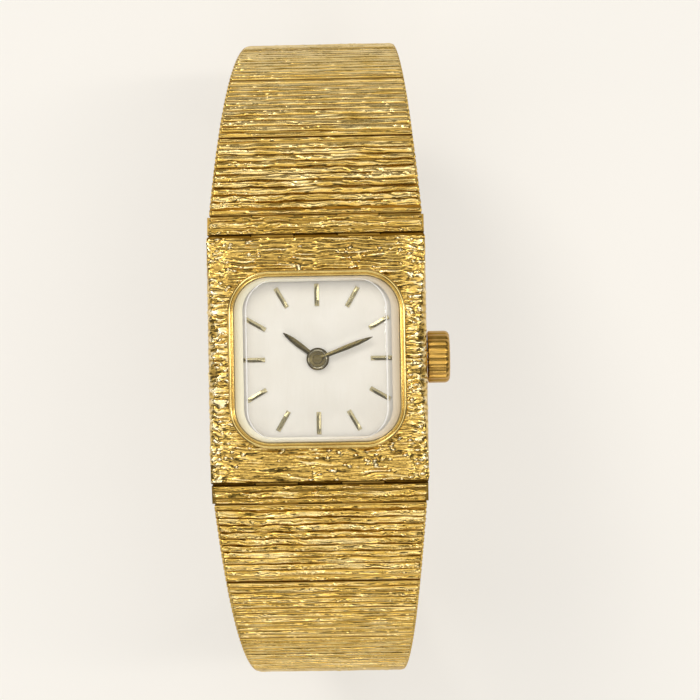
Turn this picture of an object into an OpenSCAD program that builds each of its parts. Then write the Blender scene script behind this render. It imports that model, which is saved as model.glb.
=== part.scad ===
/* [Case] */
// Width of the case, from the 9 o'clock side to the crown side
case_w = 17.0; // [15:0.1:19]
// Length of the case, from the 12 end to the 6 end
case_l = 19.4; // [17.5:0.1:22]
// Radius of the upright corners of the case
case_corner_r = 0.7; // [0.3:0.1:1.2]
// Radius of the rounded shoulder along each long side
shoulder_r = 0.9; // [0.4:0.1:1.2]
// Height of the case middle at its two ends
case_end_h = 4.0; // [3.8:0.1:4.6]
// Thickness of the sides of the case, beside the cavity for the movement
wall_t = 1.5; // [1.3:0.05:1.7]
// Corner radius of the cavity
cavity_r = 3.0; // [2:0.1:4]
// Thickness of the case back plate
back_t = 0.8; // [0.5:0.1:1.2]
// Step from the side of the case to the side of its back
back_inset_x = 0.8; // [0.5:0.05:1]
// Step from the end of the case to the end of its back
back_inset_y = 1.4; // [1:0.05:1.8]
// Height of the lip that centres the back in the cavity
back_lip_h = 0.4; // [0.2:0.1:0.5]
// Width of the seal that lies round the lip
gasket_w = 0.4; // [0.2:0.1:0.5]
// Thickness of the seal
gasket_t = 0.25; // [0.15:0.05:0.3]

/* [Rim and crystal] */
// Step from the side of the cavity to the outside of the polished rim
rim_inset = 0.05; // [0.05:0.05:0.4]
// Width of the metal of the rim, seen from above
rim_wall = 0.52; // [0.3:0.02:0.8]
// Corner radius of the outside of the rim
rim_r = 3.3; // [2.5:0.1:4]
// Height that the rim stands above the middle of the case
rim_proud = 0.45; // [0.2:0.05:0.8]
// Depth of the seat that the rim sits in
rim_seat = 0.7; // [0.5:0.05:0.9]
// Height of the crystal above the rim
crystal_proud = 0.55; // [0.2:0.05:1]
// Slope width of the crystal at its left and right sides
bevel_x = 1.05; // [0.5:0.05:1.5]
// Slope width of the crystal at its top and bottom sides
bevel_y = 0.45; // [0.3:0.05:1.2]
// Width of the skirt that the crystal stands on
skirt_w = 0.6; // [0.4:0.05:0.8]
// Height of the hollow under the crystal
skirt_h = 0.45; // [0.3:0.05:0.6]

/* [Dial and hands] */
// Thickness of the dial plate
dial_t = 0.3; // [0.2:0.05:0.5]
// Step from the side of the cavity to the edge of the dial
dial_inset = 0.35; // [0.2:0.05:0.6]
// Length of an hour marker
marker_l = 1.75; // [1:0.05:2.2]
// Width of an hour marker
marker_w = 0.35; // [0.2:0.05:0.5]
// Height of an hour marker above the dial
marker_h = 0.18; // [0.1:0.02:0.25]
// Distance from the edge of the dial to the markers at 12, 3, 6 and 9
marker_inset = 0.75; // [0.6:0.05:1.2]
// Distance that the other markers stand farther out
marker_step = 0.55; // [0.3:0.05:0.6]
// Length of the hour hand from the centre
hour_hand_l = 3.4; // [2.5:0.1:3.8]
// Greatest width of the hour hand
hour_hand_w = 0.46; // [0.3:0.02:0.7]
// Direction of the hour hand, clockwise from 12
hour_hand_turn = 308; // [0:1:359]
// Length of the minute hand from the centre
minute_hand_l = 4.65; // [4:0.05:5.2]
// Greatest width of the minute hand
minute_hand_w = 0.4; // [0.25:0.01:0.6]
// Direction of the minute hand, clockwise from 12
minute_hand_turn = 69; // [0:1:359]
// Thickness of a hand
hand_t = 0.12; // [0.08:0.02:0.16]
// Radius of the boss of the minute hand
minute_boss_r = 0.62; // [0.5:0.02:0.8]
// Radius of the boss of the hour hand
hour_boss_r = 0.88; // [0.75:0.02:1]

/* [Crown] */
// Diameter of the crown
crown_d = 4.1; // [3.4:0.1:4.4]
// Length of the crown along its axis
crown_l = 1.76; // [1.2:0.02:2.2]
// Number of flutes round the crown
crown_flutes = 20; // [12:1:30]
// Radius of the cutter of one flute
flute_r = 0.22; // [0.1:0.02:0.3]
// Rounding of the outer edge of the crown
crown_edge_r = 0.35; // [0.1:0.05:0.5]
// Radius of the stem
stem_r = 0.3; // [0.25:0.01:0.34]
// Outer radius of the crown tube
tube_r = 0.75; // [0.6:0.05:0.9]
// Gap between the case side and the crown when it is pushed in
crown_gap = 0.12; // [0.08:0.02:0.3]

/* [Bracelet] */
// Step from the side of the case to the side of the bracelet
bracelet_inset = 0.03; // [0.02:0.01:0.3]
// Loss of width for each millimetre along the bracelet
taper = 0.165; // [0.05:0.005:0.18]
// Width of the bracelet at the clasp
end_w = 9.4; // [9:0.1:11]
// Loss of width for each millimetre near the clasp
end_taper = 0.04; // [0.03:0.005:0.06]
// Thickness of the bracelet
mesh_t = 1.3; // [1.2:0.05:1.6]
// Distance from one mesh row to the next
row_pitch = 0.59; // [0.55:0.01:0.65]
// Mesh rows in one panel
rows = 12; // [10:1:14]
// Panels on each arc of a half, two arcs to a half
panels = 4; // [3:1:4]
// Radius of the rounded top of a row
row_crest_r = 0.36; // [0.32:0.01:0.5]
// Length of the plain link next to the case
link_l = 1.6; // [1.4:0.1:2.2]
// Slope of the bracelet where it leaves the case
head_slope = 10; // [6:1:14]
// Depth of the hinge axes below the outer surface
hinge_depth = 0.62; // [0.6:0.01:0.66]
// Radius of a hinge knuckle
knuckle_r = 0.36; // [0.32:0.01:0.4]
// Radius of a hinge pin
pin_r = 0.17; // [0.14:0.01:0.2]
// Greatest opening of one hinge
hinge_open = 17; // [8:1:18]

/* [Clasp] */
// Thickness of the fold-over lever
lever_t = 0.5; // [0.4:0.05:0.6]
// Width of the rails beside the lever
rail_w = 1.1; // [0.8:0.1:1.6]
// Distance from the end hinge to the lever's own hinge
lever_set = 1.5; // [1.4:0.1:2]
// Number of ladder slots in the catch plate
ladder_slots = 3; // [2:1:3]
// Width of one ladder slot along the bracelet
slot_w = 0.7; // [0.5:0.05:0.8]
// Gap between the two halves at the closed clasp
clasp_gap = 0.4; // [0.3:0.05:0.6]
// Distance of that gap from the middle of the case, towards the 6 side
clasp_meet = 3.4; // [3:0.1:4]

/* [Movement] */
// Least thickness of the spacer round the movement
ring_t = 0.4; // [0.3:0.05:0.5]
// Height of the stem axis above the bottom of the case middle
stem_z = 1.75; // [1.7:0.01:1.8]
// Thickness of the train bridges
bridge_t = 0.5; // [0.4:0.05:0.5]
// Height of the space for the wheels
train_h = 1.0; // [1:0.02:1.1]
// Thickness of the main plate
plate_t = 1.3; // [1.2:0.05:1.4]
// Depth of the pocket for the motion work
pocket_t = 0.65; // [0.6:0.01:0.7]
// Radius of a pivot
pivot_r = 0.1; // [0.08:0.01:0.12]
// Outer radius of a jewel
jewel_r = 0.32; // [0.28:0.01:0.36]
// Radius of the bridge feet
foot_r = 0.4; // [0.35:0.01:0.42]

/* [Clearances] */
// Running clearance round a pin or pivot
run_gap = 0.03; // [0.02:0.005:0.04]
// Clearance beside a knuckle, along the pin
side_gap = 0.06; // [0.04:0.01:0.1]
// Clearance round a knuckle
round_gap = 0.05; // [0.04:0.01:0.08]
// Clearance between panels at rest
end_gap = 0.04; // [0.03:0.01:0.06]
// Clearance of parts that are fitted in the case
seat_gap = 0.02; // [0.01:0.01:0.04]

/* [Hidden] */
$fn = 64;

gold = "#c9a458";
bark = "#b9924a";
steel = "#b9bcc0";
brass = "#c8b070";
big = 60;

// Widths that follow the case
bracelet_w = case_w - 2 * bracelet_inset;
cavity_w = case_w - 2 * wall_t;
back_w = case_w - 2 * back_inset_x;
back_l = case_l - 2 * back_inset_y;
rim_w = cavity_w - 2 * rim_inset;
dial_w = cavity_w - 2 * dial_inset;
marker_r = dial_w / 2 - marker_inset;
plate_r = cavity_w / 2 - ring_t;

// Loop of the bracelet: an upper and a lower arc on each side, and a flat for the clasp
arc_rows = panels * rows;
upper_r = (arc_rows * row_pitch + link_l) / ((90 - head_slope) * PI / 180);
lower_r = arc_rows * row_pitch / (PI / 2);
link_turn = link_l / upper_r * 180 / PI;
half_l = link_l + 2 * arc_rows * row_pitch;
upper_step = (90 - head_slope - link_turn) / arc_rows;
lower_step = 90 / arc_rows;
joint_y = case_l / 2 + end_gap;
slope_spare = 0.7;
row_foot = 0.1;
pin_end = 0.2;
upper_y = joint_y - upper_r * sin(head_slope);
lower_y = upper_y + upper_r - lower_r;
loop_z = lower_r;
case_z = loop_z + upper_r * cos(head_slope) - case_end_h;
lever_w = end_w - 2 * rail_w;
lever_y = lower_y - lever_set;
lever_z = lever_t * 0.85;
lever_back = 0.15;
lever_nose = clasp_gap / 2 + lever_back - clasp_meet;

// Heights inside the case, from the bottom of the case middle
case_arch_r = case_l / 2 / sin(head_slope);
case_top_h = case_end_h + case_arch_r * (1 - cos(head_slope));
rim_z = case_top_h - rim_seat;
rim_top = case_top_h + rim_proud;
crystal_z = rim_z;
crystal_top = rim_top + crystal_proud;
wheel_t = 0.25;
wheel_z = 0.15;
rim_edge = 0.12;
rim_break = 0.08;
bridge_z = wheel_z + wheel_t + 0.05;
train_z = bridge_z + bridge_t;
plate_z = train_z + train_h;
plate_top = plate_z + plate_t;
pocket_z = plate_top - pocket_t;
dial_z = plate_top;
dial_top = dial_z + dial_t;
hour_z = dial_top + 0.2;
minute_z = hour_z + hand_t + 0.23;
glass_inner = rim_w - 2 * rim_wall;
opening_w = glass_inner - 0.5;

// Places of the wheels, from the hands' axis, in units that follow the movement's radius
unit = plate_r / 66;
barrel_m = 0.8 * unit;
centre_m = 0.75 * unit;
third_m = 0.7 * unit;
fourth_m = 0.65 * unit;
winding_m = unit;
barrel_teeth = 72;
centre_teeth = 64;
third_teeth = 60;
fourth_teeth = 60;
escape_teeth = 15;
centre_pinion_teeth = 10;
third_pinion_teeth = 8;
fourth_pinion_teeth = 8;
escape_pinion_teeth = 6;
ratchet_teeth = 51;
crown_wheel_teeth = 24;
barrel_way = 65;
third_way = 195;
fourth_way = 285;
escape_way = 320;
function toward(from, way, far) = [from[0] + far * cos(way), from[1] + far * sin(way)];
function reach(m, a, b) = m * (a + b) / 2;
centre_at = [0, 0];
barrel_at = toward(centre_at, barrel_way, reach(barrel_m, barrel_teeth, centre_pinion_teeth));
third_at = toward(centre_at, third_way, reach(centre_m, centre_teeth, third_pinion_teeth));
fourth_at = toward(third_at, fourth_way, reach(third_m, third_teeth, fourth_pinion_teeth));
escape_at = toward(fourth_at, escape_way, reach(fourth_m, fourth_teeth, escape_pinion_teeth));
winding_reach = reach(winding_m, ratchet_teeth, crown_wheel_teeth);
crown_wheel_at = [barrel_at[0] + sqrt(pow(winding_reach, 2) - pow(barrel_at[1], 2)), 0];
balance_at = unit * [33, -30];
balance_r = 18 * unit;
escape_r = 12.5 * unit;
roller_r = 0.42;
pallet_reach = 15 * unit;
pallet_way = atan2(balance_at[1] - escape_at[1], balance_at[0] - escape_at[0]);
pallet_at = toward(escape_at, pallet_way, pallet_reach);
barrel_feet = unit * [[50.5, 29], [-23, 52]];
train_feet = unit * [[-53, 19], [-47.5, -33], [16, -55]];
cock_foot = unit * [55, -21];
jewelled = [third_at, fourth_at, escape_at, pallet_at, balance_at];

// Levels of the wheels in the train space
level_low = train_z + 0.15;
level_mid = train_z + 0.43;
level_high = train_z + 0.67;
thin = 0.13;

// Motion work under the dial
cannon_teeth = 12;
minute_wheel_teeth = 36;
minute_pinion_teeth = 10;
hour_wheel_teeth = 40;
motion_m = 0.7 * unit;
pocket_r = 31 * unit;
motion_reach = reach(motion_m, cannon_teeth, minute_wheel_teeth);
hour_m = 2 * motion_reach / (minute_pinion_teeth + hour_wheel_teeth);
minute_wheel_way = 200;
minute_wheel_at = toward(centre_at, minute_wheel_way, motion_reach);
centre_r = 0.17;
cannon_r = 0.35;
hour_pipe_r = 0.55;
stud_r = 0.12;

// Arbors, screws and the pinions on the stem
arbor_r = 0.14;
barrel_arbor_r = 0.3;
drum_r = barrel_m * (barrel_teeth / 2 - 1.75);
drum_hub_r = 0.4;
screw_r = 0.16;
screw_head_r = 0.31;
screw_spare = 0.03;
sliding_x = 35 * unit;
sliding_l = 9 * unit;
sliding_r = 0.62;
winding_x = 45.5 * unit;
winding_l = 7 * unit;
winding_r = 1.05;
click_way = 150;
click_at = toward(barrel_at, click_way, winding_m * (ratchet_teeth / 2 + 1) + 0.45);
click_r = 0.15;
hair_turns = 4;
hair_step = 0.11;
hair_t = 0.05;
hair_r = 0.26;

// Turns that set the teeth of each pair in mesh
centre_turn = 0;
barrel_turn = in_mesh(0, centre_pinion_teeth, barrel_teeth, barrel_way);
third_turn = in_mesh(centre_turn, centre_teeth, third_pinion_teeth, third_way);
fourth_turn = in_mesh(third_turn, third_teeth, fourth_pinion_teeth, fourth_way);
escape_turn = in_mesh(fourth_turn, fourth_teeth, escape_pinion_teeth, escape_way);
crown_wheel_way = atan2(crown_wheel_at[1] - barrel_at[1], crown_wheel_at[0] - barrel_at[0]);
crown_wheel_turn = in_mesh(0, ratchet_teeth, crown_wheel_teeth, crown_wheel_way);
minute_wheel_turn = in_mesh(0, cannon_teeth, minute_wheel_teeth, minute_wheel_way);
hour_wheel_turn = in_mesh(minute_wheel_turn, minute_pinion_teeth, hour_wheel_teeth,
                          minute_wheel_way + 180);

// A rectangle with round corners, centred
module cushion(w, l, r) {
    square([w - 2 * r, l], center = true);
    square([w, l - 2 * r], center = true);
    for (x = [-1, 1], y = [-1, 1]) {
        translate([x * (w / 2 - r), y * (l / 2 - r)]) circle(r);
    }
}

// Moves to the frame of the case, at the bottom of the case middle
module in_case() {
    translate([0, 0, case_z]) children();
}

// Moves to a place on the outer surface of the upper or lower arc, outward along +Z
module on_arc(lower, turn) {
    translate([0, lower ? lower_y : upper_y, loop_z])
        rotate([-turn, 0, 0])
            translate([0, 0, lower ? lower_r : upper_r])
                children();
}

// Width of the bracelet at a distance from the case: it tapers, and less so near the clasp
function width_at(s) = max(bracelet_w - taper * s, end_w + end_taper * (half_l - s));

// A round bar along X
module bar_x(w, r) {
    rotate([0, 90, 0]) cylinder(h = w, r = r, center = true);
}

// The five places of the knuckles across a hinge; the head side has the even ones
module knuckles(w, r, even, spare) {
    part = w / 5;
    for (i = [even ? 0 : 1 : 2 : 4]) {
        translate([(i - 2) * part, 0, -hinge_depth]) bar_x(part + 2 * spare, r);
    }
}

// Room for the other side's knuckles, and the slope that lets the hinge open
module hinge_room(w, even, side) {
    knuckles(w, knuckle_r + round_gap, !even, 0.001);
    if (!even) translate([0, 0, -hinge_depth]) bar_x(big, pin_r + run_gap);
    translate([0, 0, -hinge_depth])
        rotate([side * (hinge_open / 2 + slope_spare), 0, 0])
            translate([-big / 2, side > 0 ? 0 : -mesh_t, 0]) cube([big, mesh_t, 2 * mesh_t]);
    translate([-big / 2, side > 0 ? -end_gap / 2 : end_gap / 2 - mesh_t, -3 * mesh_t])
        cube([big, mesh_t, 5 * mesh_t]);
}

// Knuckles of the head side, which hold the pin
module head_knuckles(w) {
    knuckles(w, knuckle_r, true, -side_gap);
    translate([0, 0, -hinge_depth]) bar_x(w - 2 * pin_end, pin_r);
}

// Knuckles of the far side, which turn on the pin
module far_knuckles(w) {
    difference() {
        knuckles(w, knuckle_r, false, -side_gap);
        translate([0, 0, -hinge_depth]) bar_x(w + 1, pin_r + run_gap);
    }
}

// Outline of one mesh row: a round crest outside, a flatter one inside
module row_outline() {
    intersection() {
        translate([0, -row_crest_r]) circle(row_crest_r);
        translate([-row_pitch / 2, -row_crest_r]) square([row_pitch, row_crest_r]);
    }
    translate([-row_pitch / 2 - 0.01, row_foot - mesh_t])
        square([row_pitch + 0.02, mesh_t - row_foot - row_crest_r / 2]);
    translate([-row_pitch / 2 + 0.07, -mesh_t]) square([row_pitch - 0.14, mesh_t / 2]);
}

module mesh_row(w) {
    rotate([90, 0, 90]) linear_extrude(w, center = true) row_outline();
}

// One panel: rows across the bracelet, with knuckles at both ends
module mesh_panel(k) {
    lower = k > panels;
    first = (k - 1 - (lower ? panels : 0)) * rows;
    step = lower ? lower_step : upper_step;
    start = (lower ? 90 : head_slope + link_turn) + first * step;
    s0 = link_l + (k - 1) * rows * row_pitch;
    w0 = width_at(s0);
    w1 = width_at(s0 + rows * row_pitch);
    difference() {
        for (i = [0 : rows - 1]) {
            on_arc(lower, start + (i + 0.5) * step) mesh_row(width_at(s0 + (i + 0.5) * row_pitch));
        }
        on_arc(lower, start) hinge_room(w0, false, -1);
        on_arc(lower, start + rows * step) hinge_room(w1, true, 1);
    }
    on_arc(lower, start) far_knuckles(w0);
    on_arc(lower, start + rows * step) head_knuckles(w1);
}

// The plain link beside the case
module end_link() {
    difference() {
        rotate([90, 0, 90])
            linear_extrude(bracelet_w, center = true)
                intersection() {
                    difference() {
                        translate([upper_y, loop_z]) circle(upper_r, $fn = 240);
                        translate([upper_y, loop_z]) circle(upper_r - mesh_t, $fn = 240);
                    }
                    translate([joint_y - mesh_t / 2, loop_z]) square([link_l + mesh_t, 2 * upper_r]);
                }
        on_arc(false, head_slope) hinge_room(bracelet_w, false, -1);
        on_arc(false, head_slope + link_turn) hinge_room(width_at(link_l), true, 1);
    }
    on_arc(false, head_slope) far_knuckles(bracelet_w);
    on_arc(false, head_slope + link_turn) head_knuckles(width_at(link_l));
}

// The case middle: an arched, shouldered block with the movement cavity
module case_body() {
    color(bark) {
        difference() {
            in_case() intersection() {
                linear_extrude(2 * case_top_h) cushion(case_w, case_l + 1, case_corner_r);
                rotate([90, 0, 90]) linear_extrude(case_w + 1, center = true) intersection() {
                    translate([0, case_top_h - case_arch_r]) circle(case_arch_r, $fn = 240);
                    translate([-case_l, 0]) square([2 * case_l, 2 * case_top_h]);
                }
                rotate([90, 0, 0]) linear_extrude(2 * case_l, center = true) case_section();
            }
            in_case() case_hollow();
            case_ends();
            mirror([0, 1, 0]) case_ends();
        }
        on_arc(false, head_slope) head_knuckles(bracelet_w);
        mirror([0, 1, 0]) on_arc(false, head_slope) head_knuckles(bracelet_w);
    }
}

// The case seen from an end: upright sides and round shoulders
module case_section() {
    translate([-case_w / 2, 0]) square([case_w, case_top_h - shoulder_r]);
    translate([shoulder_r - case_w / 2, 0]) square([case_w - 2 * shoulder_r, case_top_h]);
    for (x = [-1, 1]) {
        translate([x * (case_w / 2 - shoulder_r), case_top_h - shoulder_r]) circle(shoulder_r);
    }
}

// The end faces of the case, square to the bracelet, with room for its knuckles
module case_ends() {
    on_arc(false, head_slope) {
        knuckles(bracelet_w, knuckle_r + round_gap, false, 0.001);
        translate([-big / 2, -end_gap / 2, -big / 2]) cube([big, big, big]);
        translate([0, 0, -hinge_depth])
            rotate([hinge_open / 2 + slope_spare, 0, 0])
                translate([-big / 2, 0, 0]) cube([big, mesh_t, 2 * mesh_t]);
    }
}

// The cavity, the opening over the dial, the rim seat and the bore for the crown tube
module case_hollow() {
    translate([0, 0, -1]) linear_extrude(1 + dial_top + 0.05) cushion(cavity_w, cavity_w, cavity_r);
    linear_extrude(2 * case_top_h) cushion(opening_w, opening_w, rim_r - rim_wall - 0.25);
    translate([0, 0, rim_z]) linear_extrude(2 * case_top_h)
        cushion(rim_w + 2 * seat_gap, rim_w + 2 * seat_gap, rim_r + seat_gap);
    translate([0, 0, -1]) linear_extrude(1 + gasket_t + 0.02)
        cushion(cavity_w + 2 * gasket_w, cavity_w + 2 * gasket_w, cavity_r + gasket_w);
    translate([case_w / 2, 0, stem_z]) bar_x(case_w / 2, tube_r);
}

module case_back() {
    color(gold) in_case() {
        translate([0, 0, -back_t * 0.4]) linear_extrude(back_t * 0.4) cushion(back_w, back_l, 1.6);
        translate([0, 0, -back_t]) linear_extrude(back_t * 0.6) cushion(back_w - 0.6, back_l - 0.6, 1.3);
        linear_extrude(back_lip_h) difference() {
            cushion(cavity_w - 2 * seat_gap, cavity_w - 2 * seat_gap, cavity_r - seat_gap);
            circle(plate_r);
        }
    }
}

module back_gasket() {
    color("#30302e") in_case() linear_extrude(gasket_t) difference() {
        cushion(cavity_w + 2 * gasket_w - 2 * seat_gap, cavity_w + 2 * gasket_w - 2 * seat_gap,
                cavity_r + gasket_w);
        cushion(cavity_w, cavity_w, cavity_r);
    }
}

module bezel_rim() {
    color(gold) in_case() {
        translate([0, 0, rim_z]) linear_extrude(rim_top - rim_z - rim_edge) difference() {
            cushion(rim_w, rim_w, rim_r);
            cushion(glass_inner, glass_inner, rim_r - rim_wall);
        }
        translate([0, 0, rim_top - rim_edge]) linear_extrude(rim_edge) difference() {
            cushion(rim_w - 2 * rim_break, rim_w - 2 * rim_break, rim_r - rim_break);
            cushion(glass_inner + 2 * rim_break, glass_inner + 2 * rim_break,
                    rim_r - rim_wall + rim_break);
        }
    }
}

module crystal() {
    side = glass_inner - 2 * seat_gap;
    r = rim_r - rim_wall - seat_gap;
    color([0.9, 0.93, 0.95, 0.35]) in_case() difference() {
        hull() {
            translate([0, 0, crystal_z]) linear_extrude(rim_top - crystal_z - 0.05)
                cushion(side, side, r, $fn = 32);
            translate([0, 0, crystal_top - 0.1]) linear_extrude(0.1)
                cushion(side - 2 * bevel_x, side - 2 * bevel_y, r - 0.6, $fn = 32);
        }
        translate([0, 0, crystal_z - 1]) linear_extrude(1 + skirt_h)
            cushion(side - 2 * skirt_w, side - 2 * skirt_w, r - skirt_w);
    }
}

module dial() {
    color("#e9e1d2") in_case() translate([0, 0, dial_z]) linear_extrude(dial_t) difference() {
        cushion(dial_w, dial_w, cavity_r);
        circle(hour_pipe_r + 0.1);
    }
}

// One marker: a bar with two sloping faces
module marker() {
    rotate([90, 0, 0]) linear_extrude(marker_l)
        polygon([[-marker_w / 2, 0], [marker_w / 2, 0], [marker_w / 2, marker_h * 0.4],
                 [0, marker_h], [-marker_w / 2, marker_h * 0.4]]);
}

module hour_markers() {
    color(gold) in_case() for (h = [0 : 11]) {
        rotate([0, 0, -30 * h])
            translate([0, marker_r + (h % 3 == 0 ? 0 : marker_step), dial_top]) marker();
    }
}

// A hand: a long leaf with a boss, bored for its pipe
module hand(length, width, boss, bore, turn) {
    rotate([0, 0, -turn]) difference() {
        union() {
            cylinder(h = hand_t, r = boss);
            linear_extrude(hand_t)
                polygon([[-width * 0.36, 0], [-width / 2, length * 0.62], [-width * 0.1, length],
                         [width * 0.1, length], [width / 2, length * 0.62], [width * 0.36, 0]]);
        }
        translate([0, 0, -1]) cylinder(h = 2, r = bore);
    }
}

module hour_hand() {
    color("#8a7440") in_case() translate([0, 0, hour_z])
        hand(hour_hand_l, hour_hand_w, hour_boss_r, hour_pipe_r, hour_hand_turn);
}

module minute_hand() {
    color("#8a7440") in_case() translate([0, 0, minute_z])
        hand(minute_hand_l, minute_hand_w, minute_boss_r, cannon_r, minute_hand_turn);
}

// The spacer between the round movement and the square cavity
module movement_ring() {
    color(steel) in_case() difference() {
        translate([0, 0, back_lip_h + 0.05]) linear_extrude(plate_top - back_lip_h - 0.05)
            cushion(cavity_w - 2 * seat_gap, cavity_w - 2 * seat_gap, cavity_r - seat_gap);
        cylinder(h = big, r = plate_r + seat_gap);
        translate([case_w / 2, 0, stem_z]) bar_x(case_w, tube_r + 0.05);
    }
}

module crown_tube() {
    color(steel) in_case() difference() {
        translate([(plate_r + 0.15 + case_w / 2 + crown_gap + 0.35) / 2, 0, stem_z])
            bar_x(case_w / 2 + crown_gap + 0.35 - plate_r - 0.15, tube_r);
        translate([case_w / 2, 0, stem_z]) bar_x(case_w, stem_r + 2 * run_gap);
    }
}

// The fluted crown, hollow behind for the tube
module crown() {
    x0 = case_w / 2 + crown_gap;
    color("#b5843c") in_case() translate([x0, 0, stem_z]) rotate([0, 90, 0]) difference() {
        rotate_extrude() difference() {
            union() {
                square([crown_d / 2, crown_l - crown_edge_r]);
                square([crown_d / 2 - crown_edge_r, crown_l]);
                translate([crown_d / 2 - crown_edge_r, crown_l - crown_edge_r]) circle(crown_edge_r);
            }
            translate([-1, -1]) square([1, big]);
            translate([-1, -1]) square([tube_r + 0.1 + 1, 1 + 0.5]);
        }
        for (i = [0 : crown_flutes - 1]) {
            rotate([0, 0, 360 / crown_flutes * i])
                translate([crown_d / 2 + flute_r * 0.45, 0, -1])
                    cylinder(h = crown_l + 2, r = flute_r, $fn = 24);
        }
    }
}

module winding_stem() {
    x1 = case_w / 2 + crown_gap + 0.5;
    color(steel) in_case() translate([(sliding_x + x1) / 2, 0, stem_z]) bar_x(x1 - sliding_x, stem_r);
}

// Outline of a toothed wheel: narrow teeth, so that a pair runs without touching
module toothed(teeth, m, add = 1, ded = 1.25) {
    pitch = 360 / teeth;
    root = m * teeth / 2 - ded * m;
    tip = m * teeth / 2 + add * m;
    polygon([for (i = [0 : teeth - 1], p = [[root, -0.25], [tip, -0.09], [tip, 0.09], [root, 0.25]])
        [p[0] * cos((i + p[1]) * pitch), p[0] * sin((i + p[1]) * pitch)]]);
}

// Turn that sets the second wheel's gap on the first wheel's tooth, along the line of centres
function in_mesh(turn_a, teeth_a, teeth_b, way) =
    way + 180 - (0.5 - (way - turn_a) * teeth_a / 360) * 360 / teeth_b;

// A wheel with four windows between its arms
module crossed_wheel(teeth, m, t) {
    outer = m * teeth / 2 - 3.2 * m;
    linear_extrude(t) difference() {
        toothed(teeth, m);
        difference() {
            circle(outer);
            circle(outer * 0.3);
            square([0.22, 3 * outer], center = true);
            square([3 * outer, 0.22], center = true);
        }
    }
}

// An arbor with its two pivots, from the bridge to the plate
module arbor(r) {
    translate([0, 0, train_z + 0.03]) cylinder(h = train_h - 0.06, r = r);
    translate([0, 0, train_z - 0.17]) cylinder(h = train_h + 0.34, r = pivot_r);
}

module at(place) {
    translate([place[0], place[1], 0]) children();
}

module winding_pinion() {
    color(steel) in_case() difference() {
        translate([winding_x, 0, stem_z]) rotate([0, 90, 0])
            linear_extrude(winding_l) toothed(18, 2 * (winding_r - 0.1) / 18, 0.95);
        translate([winding_x, 0, stem_z]) bar_x(4, stem_r + run_gap);
    }
}

module sliding_pinion() {
    color(steel) in_case() difference() {
        union() {
            translate([sliding_x, 0, stem_z]) rotate([0, 90, 0])
                linear_extrude(sliding_l * 0.35) toothed(12, 2 * (sliding_r - 0.08) / 12, 0.9);
            translate([sliding_x + sliding_l / 2, 0, stem_z]) bar_x(sliding_l, sliding_r * 0.72);
            translate([sliding_x + sliding_l * 0.85, 0, stem_z]) bar_x(sliding_l * 0.3, sliding_r);
        }
        translate([sliding_x, 0, stem_z]) bar_x(4, stem_r + run_gap);
    }
}

// The main plate, with the pocket for the motion work and room for the stem
module main_plate() {
    color(brass) in_case() {
        difference() {
            translate([0, 0, plate_z]) cylinder(h = plate_t, r = plate_r);
            translate([0, 0, pocket_z]) cylinder(h = big, r = pocket_r);
            cylinder(h = big, r = centre_r + run_gap);
            for (p = jewelled) at(p) translate([0, 0, plate_z - 0.1]) cylinder(h = 0.35, r = jewel_r);
            at(barrel_at) translate([0, 0, plate_z - 0.1]) cylinder(h = 0.4, r = drum_hub_r + run_gap);
            translate([sliding_x - 0.1, -winding_r - 0.1, plate_z - 0.1])
                cube([winding_x + winding_l - sliding_x + 0.2, 2 * winding_r + 0.2,
                      stem_z + winding_r + 0.2 - plate_z]);
            translate([plate_r, 0, stem_z]) bar_x(plate_r, tube_r * 0.5);
        }
        at(minute_wheel_at) translate([0, 0, pocket_z - 0.1])
            cylinder(h = pocket_t - 0.02, r = stud_r);
        difference() {
            for (f = concat(barrel_feet, train_feet, [cock_foot])) {
                at(f) translate([0, 0, train_z]) cylinder(h = train_h + 0.2, r = foot_r);
            }
            for (f = concat(barrel_feet, train_feet, [cock_foot])) {
                at(f) cylinder(h = train_z + 0.5, r = screw_r);
            }
        }
    }
}

// The face of a bridge, cut for jewels and screws
module bridge_face(r) {
    translate([0, 0, bridge_z]) linear_extrude(bridge_t) intersection() {
        circle(r);
        children();
    }
}

module barrel_bridge() {
    color(brass) in_case() difference() {
        bridge_face(plate_r - 0.2) difference() {
            rotate(60) translate([4.5 * unit, -big / 2]) square([big, big]);
            translate([-big / 2, -big - 12 * unit]) square([big, big]);
        }
        at(barrel_at) cylinder(h = big, r = barrel_arbor_r + run_gap);
        translate([winding_x - 0.1, -0.85, 0]) cube([winding_l + 0.2, 1.7, 2]);
        for (f = barrel_feet) at(f) screw_hole();
        at(crown_wheel_at) cylinder(h = big, r = barrel_arbor_r);
        at(click_at) cylinder(h = big, r = click_r + 0.001);
    }
}

module train_bridge() {
    color(brass) in_case() difference() {
        bridge_face(plate_r - 0.2) difference() {
            rotate(60) translate([3.5 * unit - big, -big / 2]) square([big, big]);
            at(balance_at) circle(balance_r + 0.2);
            translate([21 * unit, -big / 2]) square([big, big]);
        }
        cylinder(h = big, r = centre_r + run_gap);
        for (p = [third_at, fourth_at, escape_at, pallet_at]) {
            at(p) translate([0, 0, train_z - 0.25]) cylinder(h = 1, r = jewel_r);
        }
        for (f = train_feet) at(f) screw_hole();
    }
}

module balance_cock() {
    way = atan2(balance_at[1] - cock_foot[1], balance_at[0] - cock_foot[0]);
    far = norm(balance_at - cock_foot);
    color(brass) in_case() difference() {
        at(cock_foot) rotate([0, 0, way]) translate([0, 0, bridge_z]) linear_extrude(bridge_t) union() {
            circle(foot_r + 0.15);
            translate([0, -foot_r - 0.05]) square([far, 2 * foot_r + 0.1]);
            translate([far, 0]) circle(0.62);
        }
        at(balance_at) translate([0, 0, train_z - 0.25]) cylinder(h = 1, r = jewel_r);
        at(cock_foot) screw_hole();
    }
}

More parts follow.
